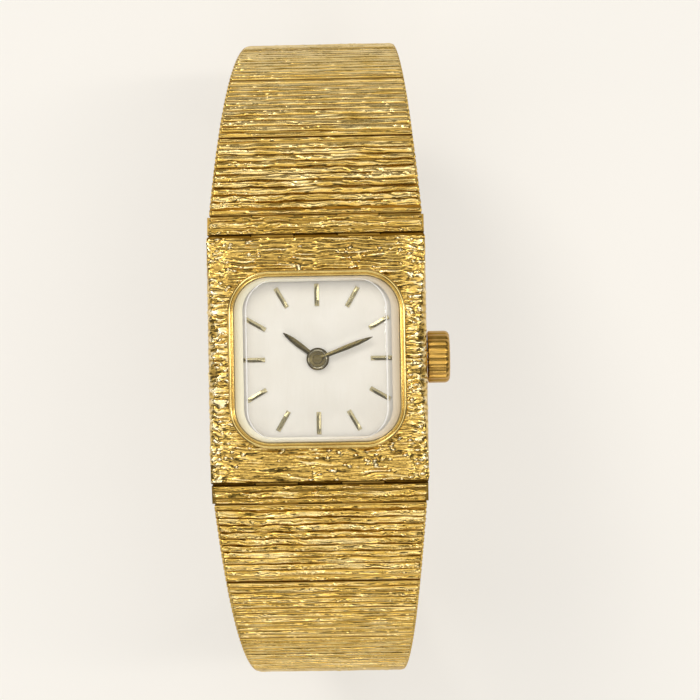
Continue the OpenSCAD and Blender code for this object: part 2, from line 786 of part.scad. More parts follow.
// A stepped hole for a bridge screw
module screw_hole() {
    cylinder(h = big, r = screw_r + screw_spare);
    cylinder(h = bridge_z + 0.2, r = screw_head_r + screw_spare);
}

module bridge_screws() {
    color("#7d8794") in_case() for (f = concat(barrel_feet, train_feet, [cock_foot])) at(f) difference() {
        union() {
            translate([0, 0, bridge_z + 0.02]) cylinder(h = 0.18, r = screw_head_r);
            translate([0, 0, bridge_z + 0.1]) cylinder(h = bridge_t + 0.3, r = screw_r);
        }
        translate([-0.5, -0.04, bridge_z - 0.05]) cube([1, 0.08, 0.13]);
    }
}

module jewels() {
    color("#b02a4a") in_case() for (p = jewelled) at(p) {
        difference() {
            union() {
                translate([0, 0, plate_z]) cylinder(h = 0.24, r = jewel_r);
                translate([0, 0, train_z - 0.24]) cylinder(h = 0.24, r = jewel_r);
            }
            translate([0, 0, train_z - 1]) cylinder(h = 3, r = pivot_r + run_gap);
        }
    }
}

// The barrel: a toothed drum on its arbor
module barrel() {
    color(brass) in_case() at(barrel_at) rotate([0, 0, barrel_turn]) difference() {
        union() {
            translate([0, 0, train_z + 0.05]) cylinder(h = level_high - train_z - 0.11, r = drum_r);
            translate([0, 0, train_z + 0.35]) linear_extrude(0.2) toothed(barrel_teeth, barrel_m);
            translate([0, 0, train_z + 0.5]) cylinder(h = train_h - 0.32, r = drum_hub_r);
        }
        translate([0, 0, train_z - 1]) cylinder(h = 1 + train_h - 0.3, r = barrel_arbor_r + run_gap);
    }
}

// The ratchet wheel with the barrel arbor that it winds
module ratchet_wheel() {
    color(steel) in_case() at(barrel_at) difference() {
        union() {
            translate([0, 0, wheel_z]) linear_extrude(wheel_t) toothed(ratchet_teeth, winding_m);
            translate([0, 0, wheel_z + 0.1])
                cylinder(h = train_z + train_h - 0.43 - wheel_z, r = barrel_arbor_r);
        }
        translate([0, 0, wheel_z - 0.1]) cylinder(h = 0.2, r = 0.5);
    }
}

module crown_wheel() {
    color(steel) in_case() at(crown_wheel_at) rotate([0, 0, crown_wheel_turn]) difference() {
        union() {
            translate([0, 0, wheel_z]) linear_extrude(wheel_t) toothed(crown_wheel_teeth, winding_m);
            translate([0, 0, wheel_z + 0.1]) cylinder(h = bridge_t, r = barrel_arbor_r - run_gap);
        }
        translate([0, 0, wheel_z - 0.1]) cylinder(h = 0.2, r = 0.45);
    }
}

// The click: a pivoted pawl just clear of the ratchet teeth
module click() {
    color(steel) in_case() at(click_at) {
        translate([0, 0, wheel_z]) linear_extrude(wheel_t) union() {
            circle(0.32);
            rotate(click_way - 90) polygon([[-0.3, 0], [0.3, 0], [0.95, -0.38], [0.82, -0.44]]);
        }
        translate([0, 0, wheel_z + 0.1]) cylinder(h = bridge_t, r = click_r);
    }
}

module centre_wheel() {
    color(brass) in_case() rotate([0, 0, centre_turn]) {
        translate([0, 0, level_high]) crossed_wheel(centre_teeth, centre_m, thin);
        translate([0, 0, train_z + 0.05]) linear_extrude(0.56) toothed(centre_pinion_teeth, barrel_m);
        translate([0, 0, bridge_z + 0.1]) cylinder(h = minute_z - bridge_z - 0.1, r = centre_r);
        translate([0, 0, train_z + 0.03]) cylinder(h = train_h - 0.06, r = 0.28);
    }
}

module third_wheel() {
    color(brass) in_case() at(third_at) rotate([0, 0, third_turn]) {
        translate([0, 0, level_low]) crossed_wheel(third_teeth, third_m, thin);
        translate([0, 0, level_high - 0.06]) linear_extrude(0.27) toothed(third_pinion_teeth, centre_m);
        arbor(arbor_r);
    }
}

module fourth_wheel() {
    color(brass) in_case() at(fourth_at) rotate([0, 0, fourth_turn]) {
        translate([0, 0, level_mid]) crossed_wheel(fourth_teeth, fourth_m, thin);
        translate([0, 0, train_z + 0.06]) linear_extrude(0.32) toothed(fourth_pinion_teeth, third_m);
        arbor(arbor_r);
    }
}

// The escape wheel: hooked teeth on a light rim
module escape_wheel() {
    pitch = 360 / escape_teeth;
    color(steel) in_case() at(escape_at) rotate([0, 0, escape_turn]) {
        translate([0, 0, level_high]) linear_extrude(thin) difference() {
            union() {
                circle(escape_r - 0.32);
                for (i = [0 : escape_teeth - 1]) rotate(i * pitch)
                    polygon([[escape_r - 0.4, -0.14], [escape_r, 0.12], [escape_r - 0.01, 0.2],
                             [escape_r - 0.4, 0.06]]);
            }
            difference() {
                circle(escape_r - 0.5);
                circle(0.25);
                square([0.14, 3], center = true);
                square([3, 0.14], center = true);
            }
        }
        translate([0, 0, level_mid - 0.06]) linear_extrude(0.24) toothed(escape_pinion_teeth, fourth_m);
        arbor(0.11);
    }
}

// The pallet fork: two stones on an anchor, and a lever with a notch
module pallet_fork() {
    lever = norm(balance_at - pallet_at) - roller_r - 0.05;
    color(steel) in_case() at(pallet_at) rotate([0, 0, pallet_way]) {
        translate([0, 0, level_high]) linear_extrude(thin) difference() {
            union() {
                circle(0.24);
                translate([0, -0.07]) square([lever, 0.14]);
                translate([lever - 0.3, -0.2]) square([0.3, 0.4]);
                for (s = [-1, 1]) rotate(s * 112) {
                    translate([0, -0.08]) square([1.1, 0.16]);
                    translate([0.95, s > 0 ? 0 : -0.12]) square([0.15, 0.12]);
                }
            }
            translate([lever - 0.2, -0.09]) square([0.3, 0.18]);
        }
        arbor(0.11);
    }
}

module balance_wheel() {
    color(brass) in_case() at(balance_at) {
        translate([0, 0, train_z + 0.08]) linear_extrude(0.2) difference() {
            circle(balance_r);
            difference() {
                circle(balance_r - 0.25);
                circle(0.3);
                square([3 * balance_r, 0.3], center = true);
            }
        }
        translate([0, 0, level_high]) cylinder(h = thin, r = roller_r);
        arbor(0.13);
    }
}

// The hairspring: half rings that grow from turn to turn, from the collet to the stud
module hairspring() {
    color("#55606e") in_case() at(balance_at) translate([0, 0, train_z + 0.38]) {
        linear_extrude(0.12) {
            difference() {
                circle(hair_r);
                circle(hair_r / 2);
            }
            for (i = [0 : 2 * hair_turns - 1]) {
                r = hair_r + i * hair_step / 2;
                translate([i % 2 == 0 ? 0 : -hair_step / 2, 0]) rotate(i % 2 == 0 ? 0 : 180)
                    intersection() {
                        difference() {
                            circle(r + hair_t / 2);
                            circle(r - hair_t / 2);
                        }
                        translate([-big / 2, 0]) square([big, big]);
                    }
            }
        }
    }
}

module cannon_pinion() {
    color(steel) in_case() difference() {
        union() {
            translate([0, 0, pocket_z + 0.02]) linear_extrude(0.24) toothed(cannon_teeth, motion_m);
            translate([0, 0, pocket_z + 0.02])
                cylinder(h = minute_z + hand_t + 0.05 - pocket_z, r = cannon_r);
        }
        translate([0, 0, pocket_z - 1])
            cylinder(h = 1 + minute_z + 0.03 - pocket_z, r = centre_r + run_gap);
    }
}

module minute_wheel() {
    color(brass) in_case() at(minute_wheel_at) rotate([0, 0, minute_wheel_turn]) difference() {
        union() {
            translate([0, 0, pocket_z + 0.04]) linear_extrude(0.13) toothed(minute_wheel_teeth, motion_m);
            translate([0, 0, pocket_z + 0.1]) linear_extrude(0.4) toothed(minute_pinion_teeth, hour_m);
        }
        translate([0, 0, pocket_z - 1]) cylinder(h = big, r = stud_r + run_gap);
    }
}

module hour_wheel() {
    color(brass) in_case() rotate([0, 0, hour_wheel_turn]) difference() {
        union() {
            translate([0, 0, pocket_z + 0.32]) linear_extrude(0.14) toothed(hour_wheel_teeth, hour_m);
            translate([0, 0, pocket_z + 0.32])
                cylinder(h = hour_z + hand_t + 0.05 - pocket_z - 0.32, r = hour_pipe_r);
        }
        translate([0, 0, pocket_z - 1]) cylinder(h = big, r = cannon_r + run_gap);
    }
}

module end_link_12() {
    color(gold) end_link();
}

module end_link_6() {
    color(gold) mirror([0, 1, 0]) end_link();
}

// The flat plate at the end of a half of the bracelet, from a distance under the case
module clasp_plate_form(from) {
    translate([-end_w / 2, from, 0]) cube([end_w, lower_y - from, mesh_t]);
}

// The clasp body: a plate on the 12 half, hollowed underneath for the lever
module clasp_body() {
    color(gold) {
        difference() {
            clasp_plate_form(clasp_gap / 2 - clasp_meet);
            on_arc(true, 180) hinge_room(end_w, false, -1);
            translate([-lever_w / 2 - side_gap, -clasp_meet - 1, -1])
                cube([lever_w + 2 * side_gap, clasp_meet + lever_y + lever_t + 1.4, 1 + lever_z + lever_t]);
            translate([0, lever_y, lever_z]) bar_x(lever_w + 1.2, pin_r + 0.001);
        }
        on_arc(true, 180) far_knuckles(end_w);
    }
}

module clasp_pin() {
    color(steel) translate([0, lever_y, lever_z]) bar_x(lever_w + 1.2, pin_r);
}

// The fold-over lever, with a thumb lip at its nose
module clasp_lever() {
    color(gold) difference() {
        union() {
            translate([0, lever_y, lever_z]) bar_x(lever_w, lever_z);
            translate([-lever_w / 2, lever_nose, 0]) cube([lever_w, lever_y - lever_nose, lever_t]);
            translate([-lever_w / 4, lever_nose, 0]) cube([lever_w / 2, 0.4, lever_z + lever_t - 0.1]);
        }
        translate([0, lever_y, lever_z]) bar_x(lever_w + 1, pin_r + run_gap);
    }
}

// The catch plate on the 6 half, with its ladder of slots
module catch_plate() {
    color(gold) mirror([0, 1, 0]) {
        difference() {
            clasp_plate_form(clasp_gap / 2 + clasp_meet);
            on_arc(true, 180) hinge_room(end_w, false, -1);
            for (i = [0 : ladder_slots - 1]) {
                translate([-end_w / 2 + rail_w + 0.4, clasp_meet + 0.9 + i * 2 * slot_w, -1])
                    cube([end_w - 2 * rail_w - 0.8, slot_w, 1 + mesh_t + 1]);
            }
        }
        on_arc(true, 180) far_knuckles(end_w);
    }
}

case_body();
bezel_rim();
crystal();
dial();
hour_markers();
hour_hand();
minute_hand();
movement_ring();
case_back();
back_gasket();
crown_tube();
crown();
winding_stem();
winding_pinion();
sliding_pinion();
main_plate();
barrel_bridge();
train_bridge();
balance_cock();
barrel();
ratchet_wheel();
crown_wheel();
click();
centre_wheel();
third_wheel();
fourth_wheel();
escape_wheel();
pallet_fork();
balance_wheel();
hairspring();
cannon_pinion();
minute_wheel();
hour_wheel();
bridge_screws();
jewels();
end_link_12();
end_link_6();
clasp_body();
clasp_lever();
clasp_pin();
catch_plate();
for (k = [1 : 2 * panels]) {
    color(bark) mesh_panel(k);
    color(bark) mirror([0, 1, 0]) mesh_panel(k);
}
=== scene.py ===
import bpy, bmesh, math
from mathutils import Vector, Matrix, noise


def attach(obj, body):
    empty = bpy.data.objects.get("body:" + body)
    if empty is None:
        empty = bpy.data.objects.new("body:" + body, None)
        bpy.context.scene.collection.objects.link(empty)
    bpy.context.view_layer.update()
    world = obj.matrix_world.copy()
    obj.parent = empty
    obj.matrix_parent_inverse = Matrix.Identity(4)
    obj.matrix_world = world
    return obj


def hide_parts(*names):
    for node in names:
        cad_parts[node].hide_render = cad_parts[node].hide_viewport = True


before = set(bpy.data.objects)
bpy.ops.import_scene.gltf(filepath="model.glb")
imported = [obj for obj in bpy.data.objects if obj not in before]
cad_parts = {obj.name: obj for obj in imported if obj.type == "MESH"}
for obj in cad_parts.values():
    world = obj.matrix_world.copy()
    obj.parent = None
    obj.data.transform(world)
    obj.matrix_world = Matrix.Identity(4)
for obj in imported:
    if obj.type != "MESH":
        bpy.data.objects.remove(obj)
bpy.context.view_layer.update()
scene = bpy.context.scene
mm = 0.001

# The case and the loop of the bracelet in millimetres and degrees, as the solids have them
loop = {"caseWidth": 17.0, "caseLength": 19.4, "caseEnd": 4.0, "shoulder": 0.9, "slope": 10.0, "link": 1.6,
        "linkRows": 3, "pitch": 0.59, "rows": 12, "panels": 4, "inset": 0.03, "taper": 0.165, "endWidth": 9.4,
        "endTaper": 0.04, "endGap": 0.04, "dialTop": 3.55, "seatDrop": 0.7, "rimProud": 0.45,
        "crownAxis": 1.75}
arcRows = loop["panels"] * loop["rows"]
halfLength = loop["link"] + 2 * arcRows * loop["pitch"]
slope = math.radians(loop["slope"])
upperR = (arcRows * loop["pitch"] + loop["link"]) / math.radians(90 - loop["slope"])
lowerR = arcRows * loop["pitch"] / (math.pi / 2)
jointY = loop["caseLength"] / 2 + loop["endGap"]
upperY = jointY - upperR * math.sin(slope)
lowerY = upperY + upperR - lowerR
loopZ = lowerR
caseZ = loopZ + upperR * math.cos(slope) - loop["caseEnd"]
archR = loop["caseLength"] / 2 / math.sin(slope)
topH = loop["caseEnd"] + archR * (1 - math.cos(slope))
seatZ, rimTop = topH - loop["seatDrop"], topH + loop["rimProud"]
linkTurn = loop["link"] / upperR
upperStep = (math.radians(90 - loop["slope"]) - linkTurn) / arcRows
lowerStep = math.pi / 2 / arcRows


def widthAt(s):
    # width of the bracelet, s millimetres along it from the case
    full = loop["caseWidth"] - 2 * loop["inset"]
    return max(full - loop["taper"] * s, loop["endWidth"] + loop["endTaper"] * (halfLength - s))


# small helpers for node trees
def feed(tree, node, socket, value):
    # a value is a number, a colour, or the output of another node
    target = node.inputs[socket]
    if isinstance(value, bpy.types.NodeSocket):
        tree.links.new(value, target)
    else:
        target.default_value = value


def put(tree, kind, inputs=None, **settings):
    node = tree.nodes.new(kind)
    for name, value in settings.items():
        setattr(node, name, value)
    for socket, value in (inputs or {}).items():
        feed(tree, node, socket, value)
    return node


def sums(tree, operation, a, b=None, c=None):
    values = [(i, value) for i, value in enumerate((a, b, c)) if value is not None]
    return put(tree, "ShaderNodeMath", dict(values), operation=operation).outputs[0]


def arithmetic(tree):
    # add, less, times, over, raised, most, least, for the sums of one tree
    def made(operation):
        return lambda a, b: sums(tree, operation, a, b)
    return [made(name) for name in ("ADD", "SUBTRACT", "MULTIPLY", "DIVIDE", "POWER", "MAXIMUM", "MINIMUM")]


def vectorOf(tree, x, y, z):
    return put(tree, "ShaderNodeCombineXYZ", {0: x, 1: y, 2: z}).outputs[0]


def partsOf(tree, vector):
    return put(tree, "ShaderNodeSeparateXYZ", {0: vector}).outputs


def noiseOf(tree, vector, scale, detail=3, rough=0.55):
    return put(tree, "ShaderNodeTexNoise", {"Vector": vector, "Scale": scale, "Detail": detail,
                                            "Roughness": rough}).outputs["Fac"]


# helpers for trees of Geometry Nodes
def newTree(name, whole, numbers):
    # a tree with named inputs: whole numbers, other numbers and the finish
    tree = bpy.data.node_groups.new(name, "GeometryNodeTree")
    for kind, labels in (("Int", whole), ("Float", numbers), ("Material", ["Finish"])):
        for label in labels:
            tree.interface.new_socket(label, in_out="INPUT", socket_type="NodeSocket" + kind)
    tree.interface.new_socket("Geometry", in_out="OUTPUT", socket_type="NodeSocketGeometry")
    return tree, put(tree, "NodeGroupInput").outputs


def position(tree):
    return partsOf(tree, put(tree, "GeometryNodeInputPosition").outputs[0])


def moved(tree, geometry, place):
    return put(tree, "GeometryNodeSetPosition", {"Geometry": geometry, "Position": place}).outputs[0]


def stored(tree, geometry, name, value):
    return put(tree, "GeometryNodeStoreNamedAttribute", {"Geometry": geometry, "Name": name, "Value": value},
               data_type="FLOAT", domain="POINT").outputs["Geometry"]


def named(tree, name):
    return put(tree, "GeometryNodeInputNamedAttribute", {"Name": name},
               data_type="FLOAT").outputs["Attribute"]


def endTree(tree, geometry, finish):
    # the result as real geometry with its material
    real = put(tree, "GeometryNodeRealizeInstances", {0: geometry})
    painted = put(tree, "GeometryNodeSetMaterial", {"Geometry": real.outputs[0], "Material": finish})
    put(tree, "NodeGroupOutput", {0: painted.outputs[0]})


# helpers for meshes and pieces
def outwardNormals(mesh):
    bm = bmesh.new()
    bm.from_mesh(mesh)
    bmesh.ops.recalc_face_normals(bm, faces=bm.faces)
    bm.to_mesh(mesh)
    bm.free()


def ringFaces(count, rings, closed=False, base=0):
    # faces between rings of points that follow one another; the last ring may join the first
    faces = []
    for k in range(rings if closed else rings - 1):
        here, there = base + k * count, base + (k + 1) % rings * count
        for i in range(count):
            j = (i + 1) % count
            faces.append((here + i, here + j, there + j, there + i))
    return faces


def joinObject(name, mesh, body):
    piece = bpy.data.objects.new(name, mesh)
    scene.collection.objects.link(piece)
    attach(piece, body)
    return piece


def pieceFrom(name, points, faces, material, body, smooth=True):
    mesh = bpy.data.meshes.new(name)
    mesh.from_pydata([tuple(p) for p in points], [], faces)
    mesh.validate()
    if smooth:
        mesh.polygons.foreach_set("use_smooth", [True] * len(mesh.polygons))
    mesh.materials.append(material)
    return joinObject(name, mesh, body)


def madeBy(tree, name, body, values):
    # runs a tree once and keeps the result as a plain mesh
    holder = bpy.data.objects.new(name + "Maker", bpy.data.meshes.new(name + "Maker"))
    scene.collection.objects.link(holder)
    modifier = holder.modifiers.new("maker", "NODES")
    modifier.node_group = tree
    for item in tree.interface.items_tree:
        if item.in_out == "INPUT" and item.name in values:
            modifier[item.identifier] = values[item.name]
    mesh = bpy.data.meshes.new_from_object(holder.evaluated_get(bpy.context.evaluated_depsgraph_get()))
    holder.modifiers.remove(modifier)
    bpy.data.objects.remove(holder)
    outwardNormals(mesh)
    mesh.name = name
    return joinObject(name, mesh, body)


# helpers for materials
def shaderOf(name, **inputs):
    material = bpy.data.materials.new(name)
    material.use_nodes = True
    tree = material.node_tree
    shader = tree.nodes["Principled BSDF"]
    for socket, value in inputs.items():
        feed(tree, shader, socket.replace("_", " "), value)
    return material, tree, shader


def ramp(tree, factor, places, colours):
    node = put(tree, "ShaderNodeValToRGB", {"Fac": factor})
    while len(node.color_ramp.elements) < len(places):
        node.color_ramp.elements.new(0.5)
    for element, place, colour in zip(node.color_ramp.elements, places, colours):
        element.position = place
        element.color = (*colour, 1)
    return node.outputs["Color"]


def tinted(tree, shader, factor, places, colours):
    # the factor picks the colour of the surface
    feed(tree, shader, "Base Color", ramp(tree, factor, places, colours))


def stretched(tree, scale=(1, 1, 1)):
    # object coordinates in millimetres, stretched by a scale for each axis
    coordinates = put(tree, "ShaderNodeTexCoord").outputs["Object"]
    return put(tree, "ShaderNodeMapping", {"Vector": coordinates,
                                           "Scale": [1000 * v for v in scale]}).outputs["Vector"]


def bumpFrom(tree, shader, height, distance):
    bump = put(tree, "ShaderNodeBump", {"Height": height, "Distance": distance * mm, "Strength": 1.0})
    feed(tree, shader, "Normal", bump.outputs["Normal"])


# carved gold: colours of the cuts, darkened as painted shade, of the flanks, and of the crests, paled as
# painted highlight; smooth and dull roughness, depth of the grain
barkSettings = {
    # the head's flank and crest colours are paler than the rows', as painted light on the top of the case
    "headBarkGold": ((0.13, 0.062, 0.005), (0.66, 0.445, 0.115), (1.0, 0.86, 0.54), (0.12, 0.25), 0.015),
    "rowBarkGold": ((0.17, 0.086, 0.006), (0.57, 0.37, 0.080), (0.96, 0.77, 0.37), (0.15, 0.30), 0.012)}

# metals: colour, colour of the streaks, roughness, stretch, scale and depth of the streaks
metalSettings = {
    "meshCoreGold": ((0.60, 0.41, 0.11), (0.46, 0.29, 0.06), 0.34, (0.4, 1, 1), 6.0, 0.02),
    "linkCoreGold": ((0.40, 0.26, 0.06), (0.26, 0.15, 0.025), 0.36, (0.4, 1, 1), 6.0, 0.02),
    "polishedRimGold": ((0.70, 0.53, 0.20), (0.54, 0.38, 0.12), 0.14, (1, 1, 1), 9.0, 0.002),
    "claspGold": ((0.74, 0.53, 0.20), (0.62, 0.42, 0.13), 0.22, (0.25, 4, 1), 5.0, 0.006),
    "caseBackGold": ((0.72, 0.52, 0.22), (0.60, 0.41, 0.14), 0.26, (4, 0.25, 1), 5.0, 0.006),
    "crownGold": ((0.55, 0.335, 0.085), (0.44, 0.25, 0.045), 0.30, (0.4, 2, 2), 5.0, 0.006),
    "markerGold": ((0.42, 0.37, 0.22), (0.30, 0.26, 0.14), 0.26, (1, 1, 1), 8.0, 0.003),
    # the pale colour of the boss edge is a painted highlight on a polished chamfer
    "bossEdgeHighlight": ((0.85, 0.80, 0.60), (0.62, 0.57, 0.38), 0.16, (1, 1, 1), 6.0, 0.002),
    "handGold": ((0.135, 0.108, 0.044), (0.08, 0.062, 0.022), 0.30, (1, 1, 1), 6.0, 0.003),
    "movementBrass": ((0.72, 0.55, 0.26), (0.60, 0.43, 0.18), 0.28, (0.3, 6, 1), 3.0, 0.008),
    "polishedSteel": ((0.62, 0.63, 0.65), (0.48, 0.49, 0.52), 0.2, (1, 5, 1), 4.0, 0.004),
    "blueSteel": ((0.09, 0.14, 0.30), (0.05, 0.08, 0.20), 0.25, (1, 1, 1), 5.0, 0.003)}


def barkGold(name, low, mid, high, rough, grain):
    # painted shade, darker and redder, in the cuts, and painted highlight, paler, on the crests, with fine
    # grain
    material, tree, shader = shaderOf(name, Metallic=1.0)
    # the relief attribute carries painted light: low in the cuts as painted shade, high on the crests as
    # painted highlight
    relief = put(tree, "ShaderNodeAttribute", attribute_name="relief").outputs["Fac"]
    patch = noiseOf(tree, stretched(tree, (0.5, 1.4, 1.4)), 1.6, 4, 0.6)
    mixed = sums(tree, "MULTIPLY_ADD", patch, 0.5, sums(tree, "MULTIPLY_ADD", relief, 0.8, -0.2))
    tinted(tree, shader, mixed, (0.08, 0.42, 0.85), (low, mid, high))
    fine = noiseOf(tree, stretched(tree, (0.6, 1.0, 1.0)), 7.0, 4, 0.6)
    gloss = put(tree, "ShaderNodeMapRange", {"Value": fine, "From Min": 0.3, "From Max": 0.7,
                                             "To Min": rough[0], "To Max": rough[1]})
    feed(tree, shader, "Roughness", gloss.outputs["Result"])
    bumpFrom(tree, shader, fine, grain)
    return material


def plainMetal(name, colour, second, rough, stretch, scale, grain):
    # polished or brushed metal with faint streaks, smudges and wear
    material, tree, shader = shaderOf(name, Metallic=1.0)
    streak = noiseOf(tree, stretched(tree, stretch), scale, 4, 0.6)
    smudge = noiseOf(tree, stretched(tree), 0.5)
    shade = sums(tree, "MULTIPLY_ADD", streak, 0.5, sums(tree, "MULTIPLY", smudge, 0.5))
    tinted(tree, shader, shade, (0.36, 0.62), (second, colour))
    feed(tree, shader, "Roughness", sums(tree, "MULTIPLY_ADD", smudge, rough * 0.6, rough * 0.7))
    bumpFrom(tree, shader, streak, grain)
    return material


# the other finishes: colours from dark to pale, roughness, depth of the grain
finishSettings = {
    "dialCream": {"colours": ((0.80, 0.765, 0.68), (0.86, 0.83, 0.755)), "rough": 0.42, "grain": 0.004},
    # the pale colour of the crystal's edge is a painted highlight
    "clearCrystal": {"tint": (0.95, 0.90, 0.80), "rough": 0.06, "ior": 1.45, "paintedEdgeHighlight": (1.0, 0.98, 0.94)},
    # the colours of the crystal's seat are painted light, paler at the left and darker at the right
    "paintedBevelLight": {"left": (1.0, 0.95, 0.74), "middle": (0.93, 0.88, 0.75), "right": (0.80, 0.70, 0.55),
                    "halfSide": 6.4, "rough": 0.6, "grain": 0.004},
    "deepRuby": {"colours": ((0.32, 0.01, 0.06), (0.55, 0.03, 0.12)), "rough": 0.08, "coat": 0.6},
    "sealRubber": {"colours": ((0.015, 0.015, 0.014), (0.035, 0.034, 0.032)), "rough": 0.75, "grain": 0.01}}


def dialCream(name="dialCream"):
    # satin lacquer, brushed very faintly from 12 to 6
    c = finishSettings[name]
    material, tree, shader = shaderOf(name, Roughness=c["rough"], Metallic=0.0)
    streak = noiseOf(tree, stretched(tree, (3.0, 0.15, 1)), 4.0)
    cloud = noiseOf(tree, stretched(tree), 0.35)
    shade = sums(tree, "MULTIPLY_ADD", streak, 0.35, sums(tree, "MULTIPLY", cloud, 0.65))
    tinted(tree, shader, shade, (0.35, 0.65), c["colours"])
    bumpFrom(tree, shader, streak, c["grain"])
    return material


def clearCrystal(name="clearCrystal"):
    # clear with a Fresnel gloss; the sloping border is a little warmer than the flat
    c = finishSettings[name]
    material = bpy.data.materials.new(name)
    material.use_nodes = True
    tree = material.node_tree
    tree.nodes.clear()
    slopeShare = put(tree, "ShaderNodeAttribute", attribute_name="slope").outputs["Fac"]
    haze = noiseOf(tree, stretched(tree), 0.6)
    tint = ramp(tree, sums(tree, "MULTIPLY_ADD", haze, 0.04, slopeShare), (0.1, 0.9), ((1, 1, 1), c["tint"]))
    clear = put(tree, "ShaderNodeBsdfTransparent", {"Color": tint})
    gloss = put(tree, "ShaderNodeBsdfGlossy", {"Roughness": c["rough"]})
    fresnel = put(tree, "ShaderNodeFresnel", {"IOR": c["ior"]})
    front = sums(tree, "SUBTRACT", 1.0, put(tree, "ShaderNodeNewGeometry").outputs["Backfacing"])
    mix = put(tree, "ShaderNodeMixShader", {0: sums(tree, "MULTIPLY", fresnel.outputs[0], front),
                                            1: clear.outputs[0], 2: gloss.outputs[0]})
    # painted highlight: the edge round the flat is painted pale white, so that it shows as a bright line
    paintedEdgeHighlight = put(tree, "ShaderNodeBsdfDiffuse", {"Color": (*c["paintedEdgeHighlight"], 1)})
    edge = put(tree, "ShaderNodeAttribute", attribute_name="edge").outputs["Fac"]
    edgeHighlightShare = sums(tree, "MULTIPLY", edge, sums(tree, "MULTIPLY_ADD", haze, 0.5, 0.50))
    whole = put(tree, "ShaderNodeMixShader", {0: edgeHighlightShare, 1: mix.outputs[0], 2: paintedEdgeHighlight.outputs[0]})
    put(tree, "ShaderNodeOutputMaterial", {"Surface": whole.outputs[0]})
    return material


def paintedBevelLight(name="paintedBevelLight"):
    # the seat of the crystal, painted pale as painted light for the bright dial seen through the bevel; paler
    # and warmer at the left and darker at the right, as painted light and shade
    c = finishSettings[name]
    material, tree, shader = shaderOf(name, Roughness=c["rough"])
    cloud = noiseOf(tree, stretched(tree), 1.2)
    x = partsOf(tree, put(tree, "ShaderNodeTexCoord").outputs["Object"])[0]
    across = sums(tree, "MULTIPLY_ADD", x, 0.5 / (c["halfSide"] * mm), 0.5)
    shade = sums(tree, "MULTIPLY_ADD", cloud, 0.2, sums(tree, "SUBTRACT", across, 0.1))
    tinted(tree, shader, shade, (0.1, 0.5, 0.9), (c["left"], c["middle"], c["right"]))
    bumpFrom(tree, shader, cloud, c["grain"])
    return material


def deepRuby(name="deepRuby"):
    c = finishSettings[name]
    material, tree, shader = shaderOf(name, Roughness=c["rough"], Coat_Weight=c["coat"])
    tinted(tree, shader, noiseOf(tree, stretched(tree), 3.0, 2), (0.4, 0.7), c["colours"])
    return material


def sealRubber(name="sealRubber"):
    c = finishSettings[name]
    material, tree, shader = shaderOf(name, Roughness=c["rough"])
    cloud = noiseOf(tree, stretched(tree), 6.0)
    tinted(tree, shader, cloud, (0.4, 0.7), c["colours"])
    bumpFrom(tree, shader, cloud, c["grain"])
    return material


materials = {name: barkGold(name, *values) for name, values in barkSettings.items()}
materials.update({name: plainMetal(name, *values) for name, values in metalSettings.items()})
for made in (dialCream(), clearCrystal(), deepRuby(), sealRubber(), paintedBevelLight()):
    materials[made.name] = made
print("materials made")

# the carved rows of the bracelet
# noise: cycles per millimetre across and along, shift of the seed, detail, weight
# strands: spacing as a share of "strand", width, height; tall: lowest and usual height
# wild, how much the strands wander: least, the relief it grows from, growth
rowSettings = {
    "across": 160, "acrossHidden": 110, "around": 24, "bunching": 0.4, "topShare": 0.70, "crestHalf": 0.292,
    "drop": 0.18, "linkDrop": 0.08, "foot": 0.20, "proud": 0.03, "linkProud": 0.03, "bead": 0.34,
    "overhang": 0.1, "reliefHead": 0.135, "reliefFar": 0.052, "linkRelief": 1.2, "fade": 13.0, "strand": 0.36,
    "borderNarrow": 0.72, "borderShift": 0.018, "closing": {"12": (0.28, 0.42), "6": (0.24, 0.02)},
    "closingFade": 8.0, "wander": 0.20, "strands": ((1.0, 0.30, 1.0), (0.66, 0.36, 0.8)),
    "tall": (0.15, 0.55), "wild": (0.08, 0.04, 12.0), "ballsAcross": 2.1, "ballsAlong": 3.0, "ball": 0.34,
    "ballHeight": 0.8, "clusterFrom": 0.08, "fill": 0.85, "merge": 1e-6, "seed": 11, "seedStep": 50,
    "noise": {"bend": (0.28, 0.5, 2.2, 1.0, 0.8), "bendFine": (0.9, 1.3, 7.5, 1.0, 0.25),
              "choice": (0.45, 1.2, 12.7, 1.0, 3.0), "tall": (0.45, 2.4, 19.1, 2.0, 1.1),
              "cluster": (0.4, 0.9, 40.2, 1.0, 1.0), "grain": (2.4, 6.0, 55.0, 1.0, 0.07),
              "closing": (0.30, 0.9, 31.0, 1.0, 1.0), "wander": (0.5, 0.7, 3.7, 1.0, 1.0)}}


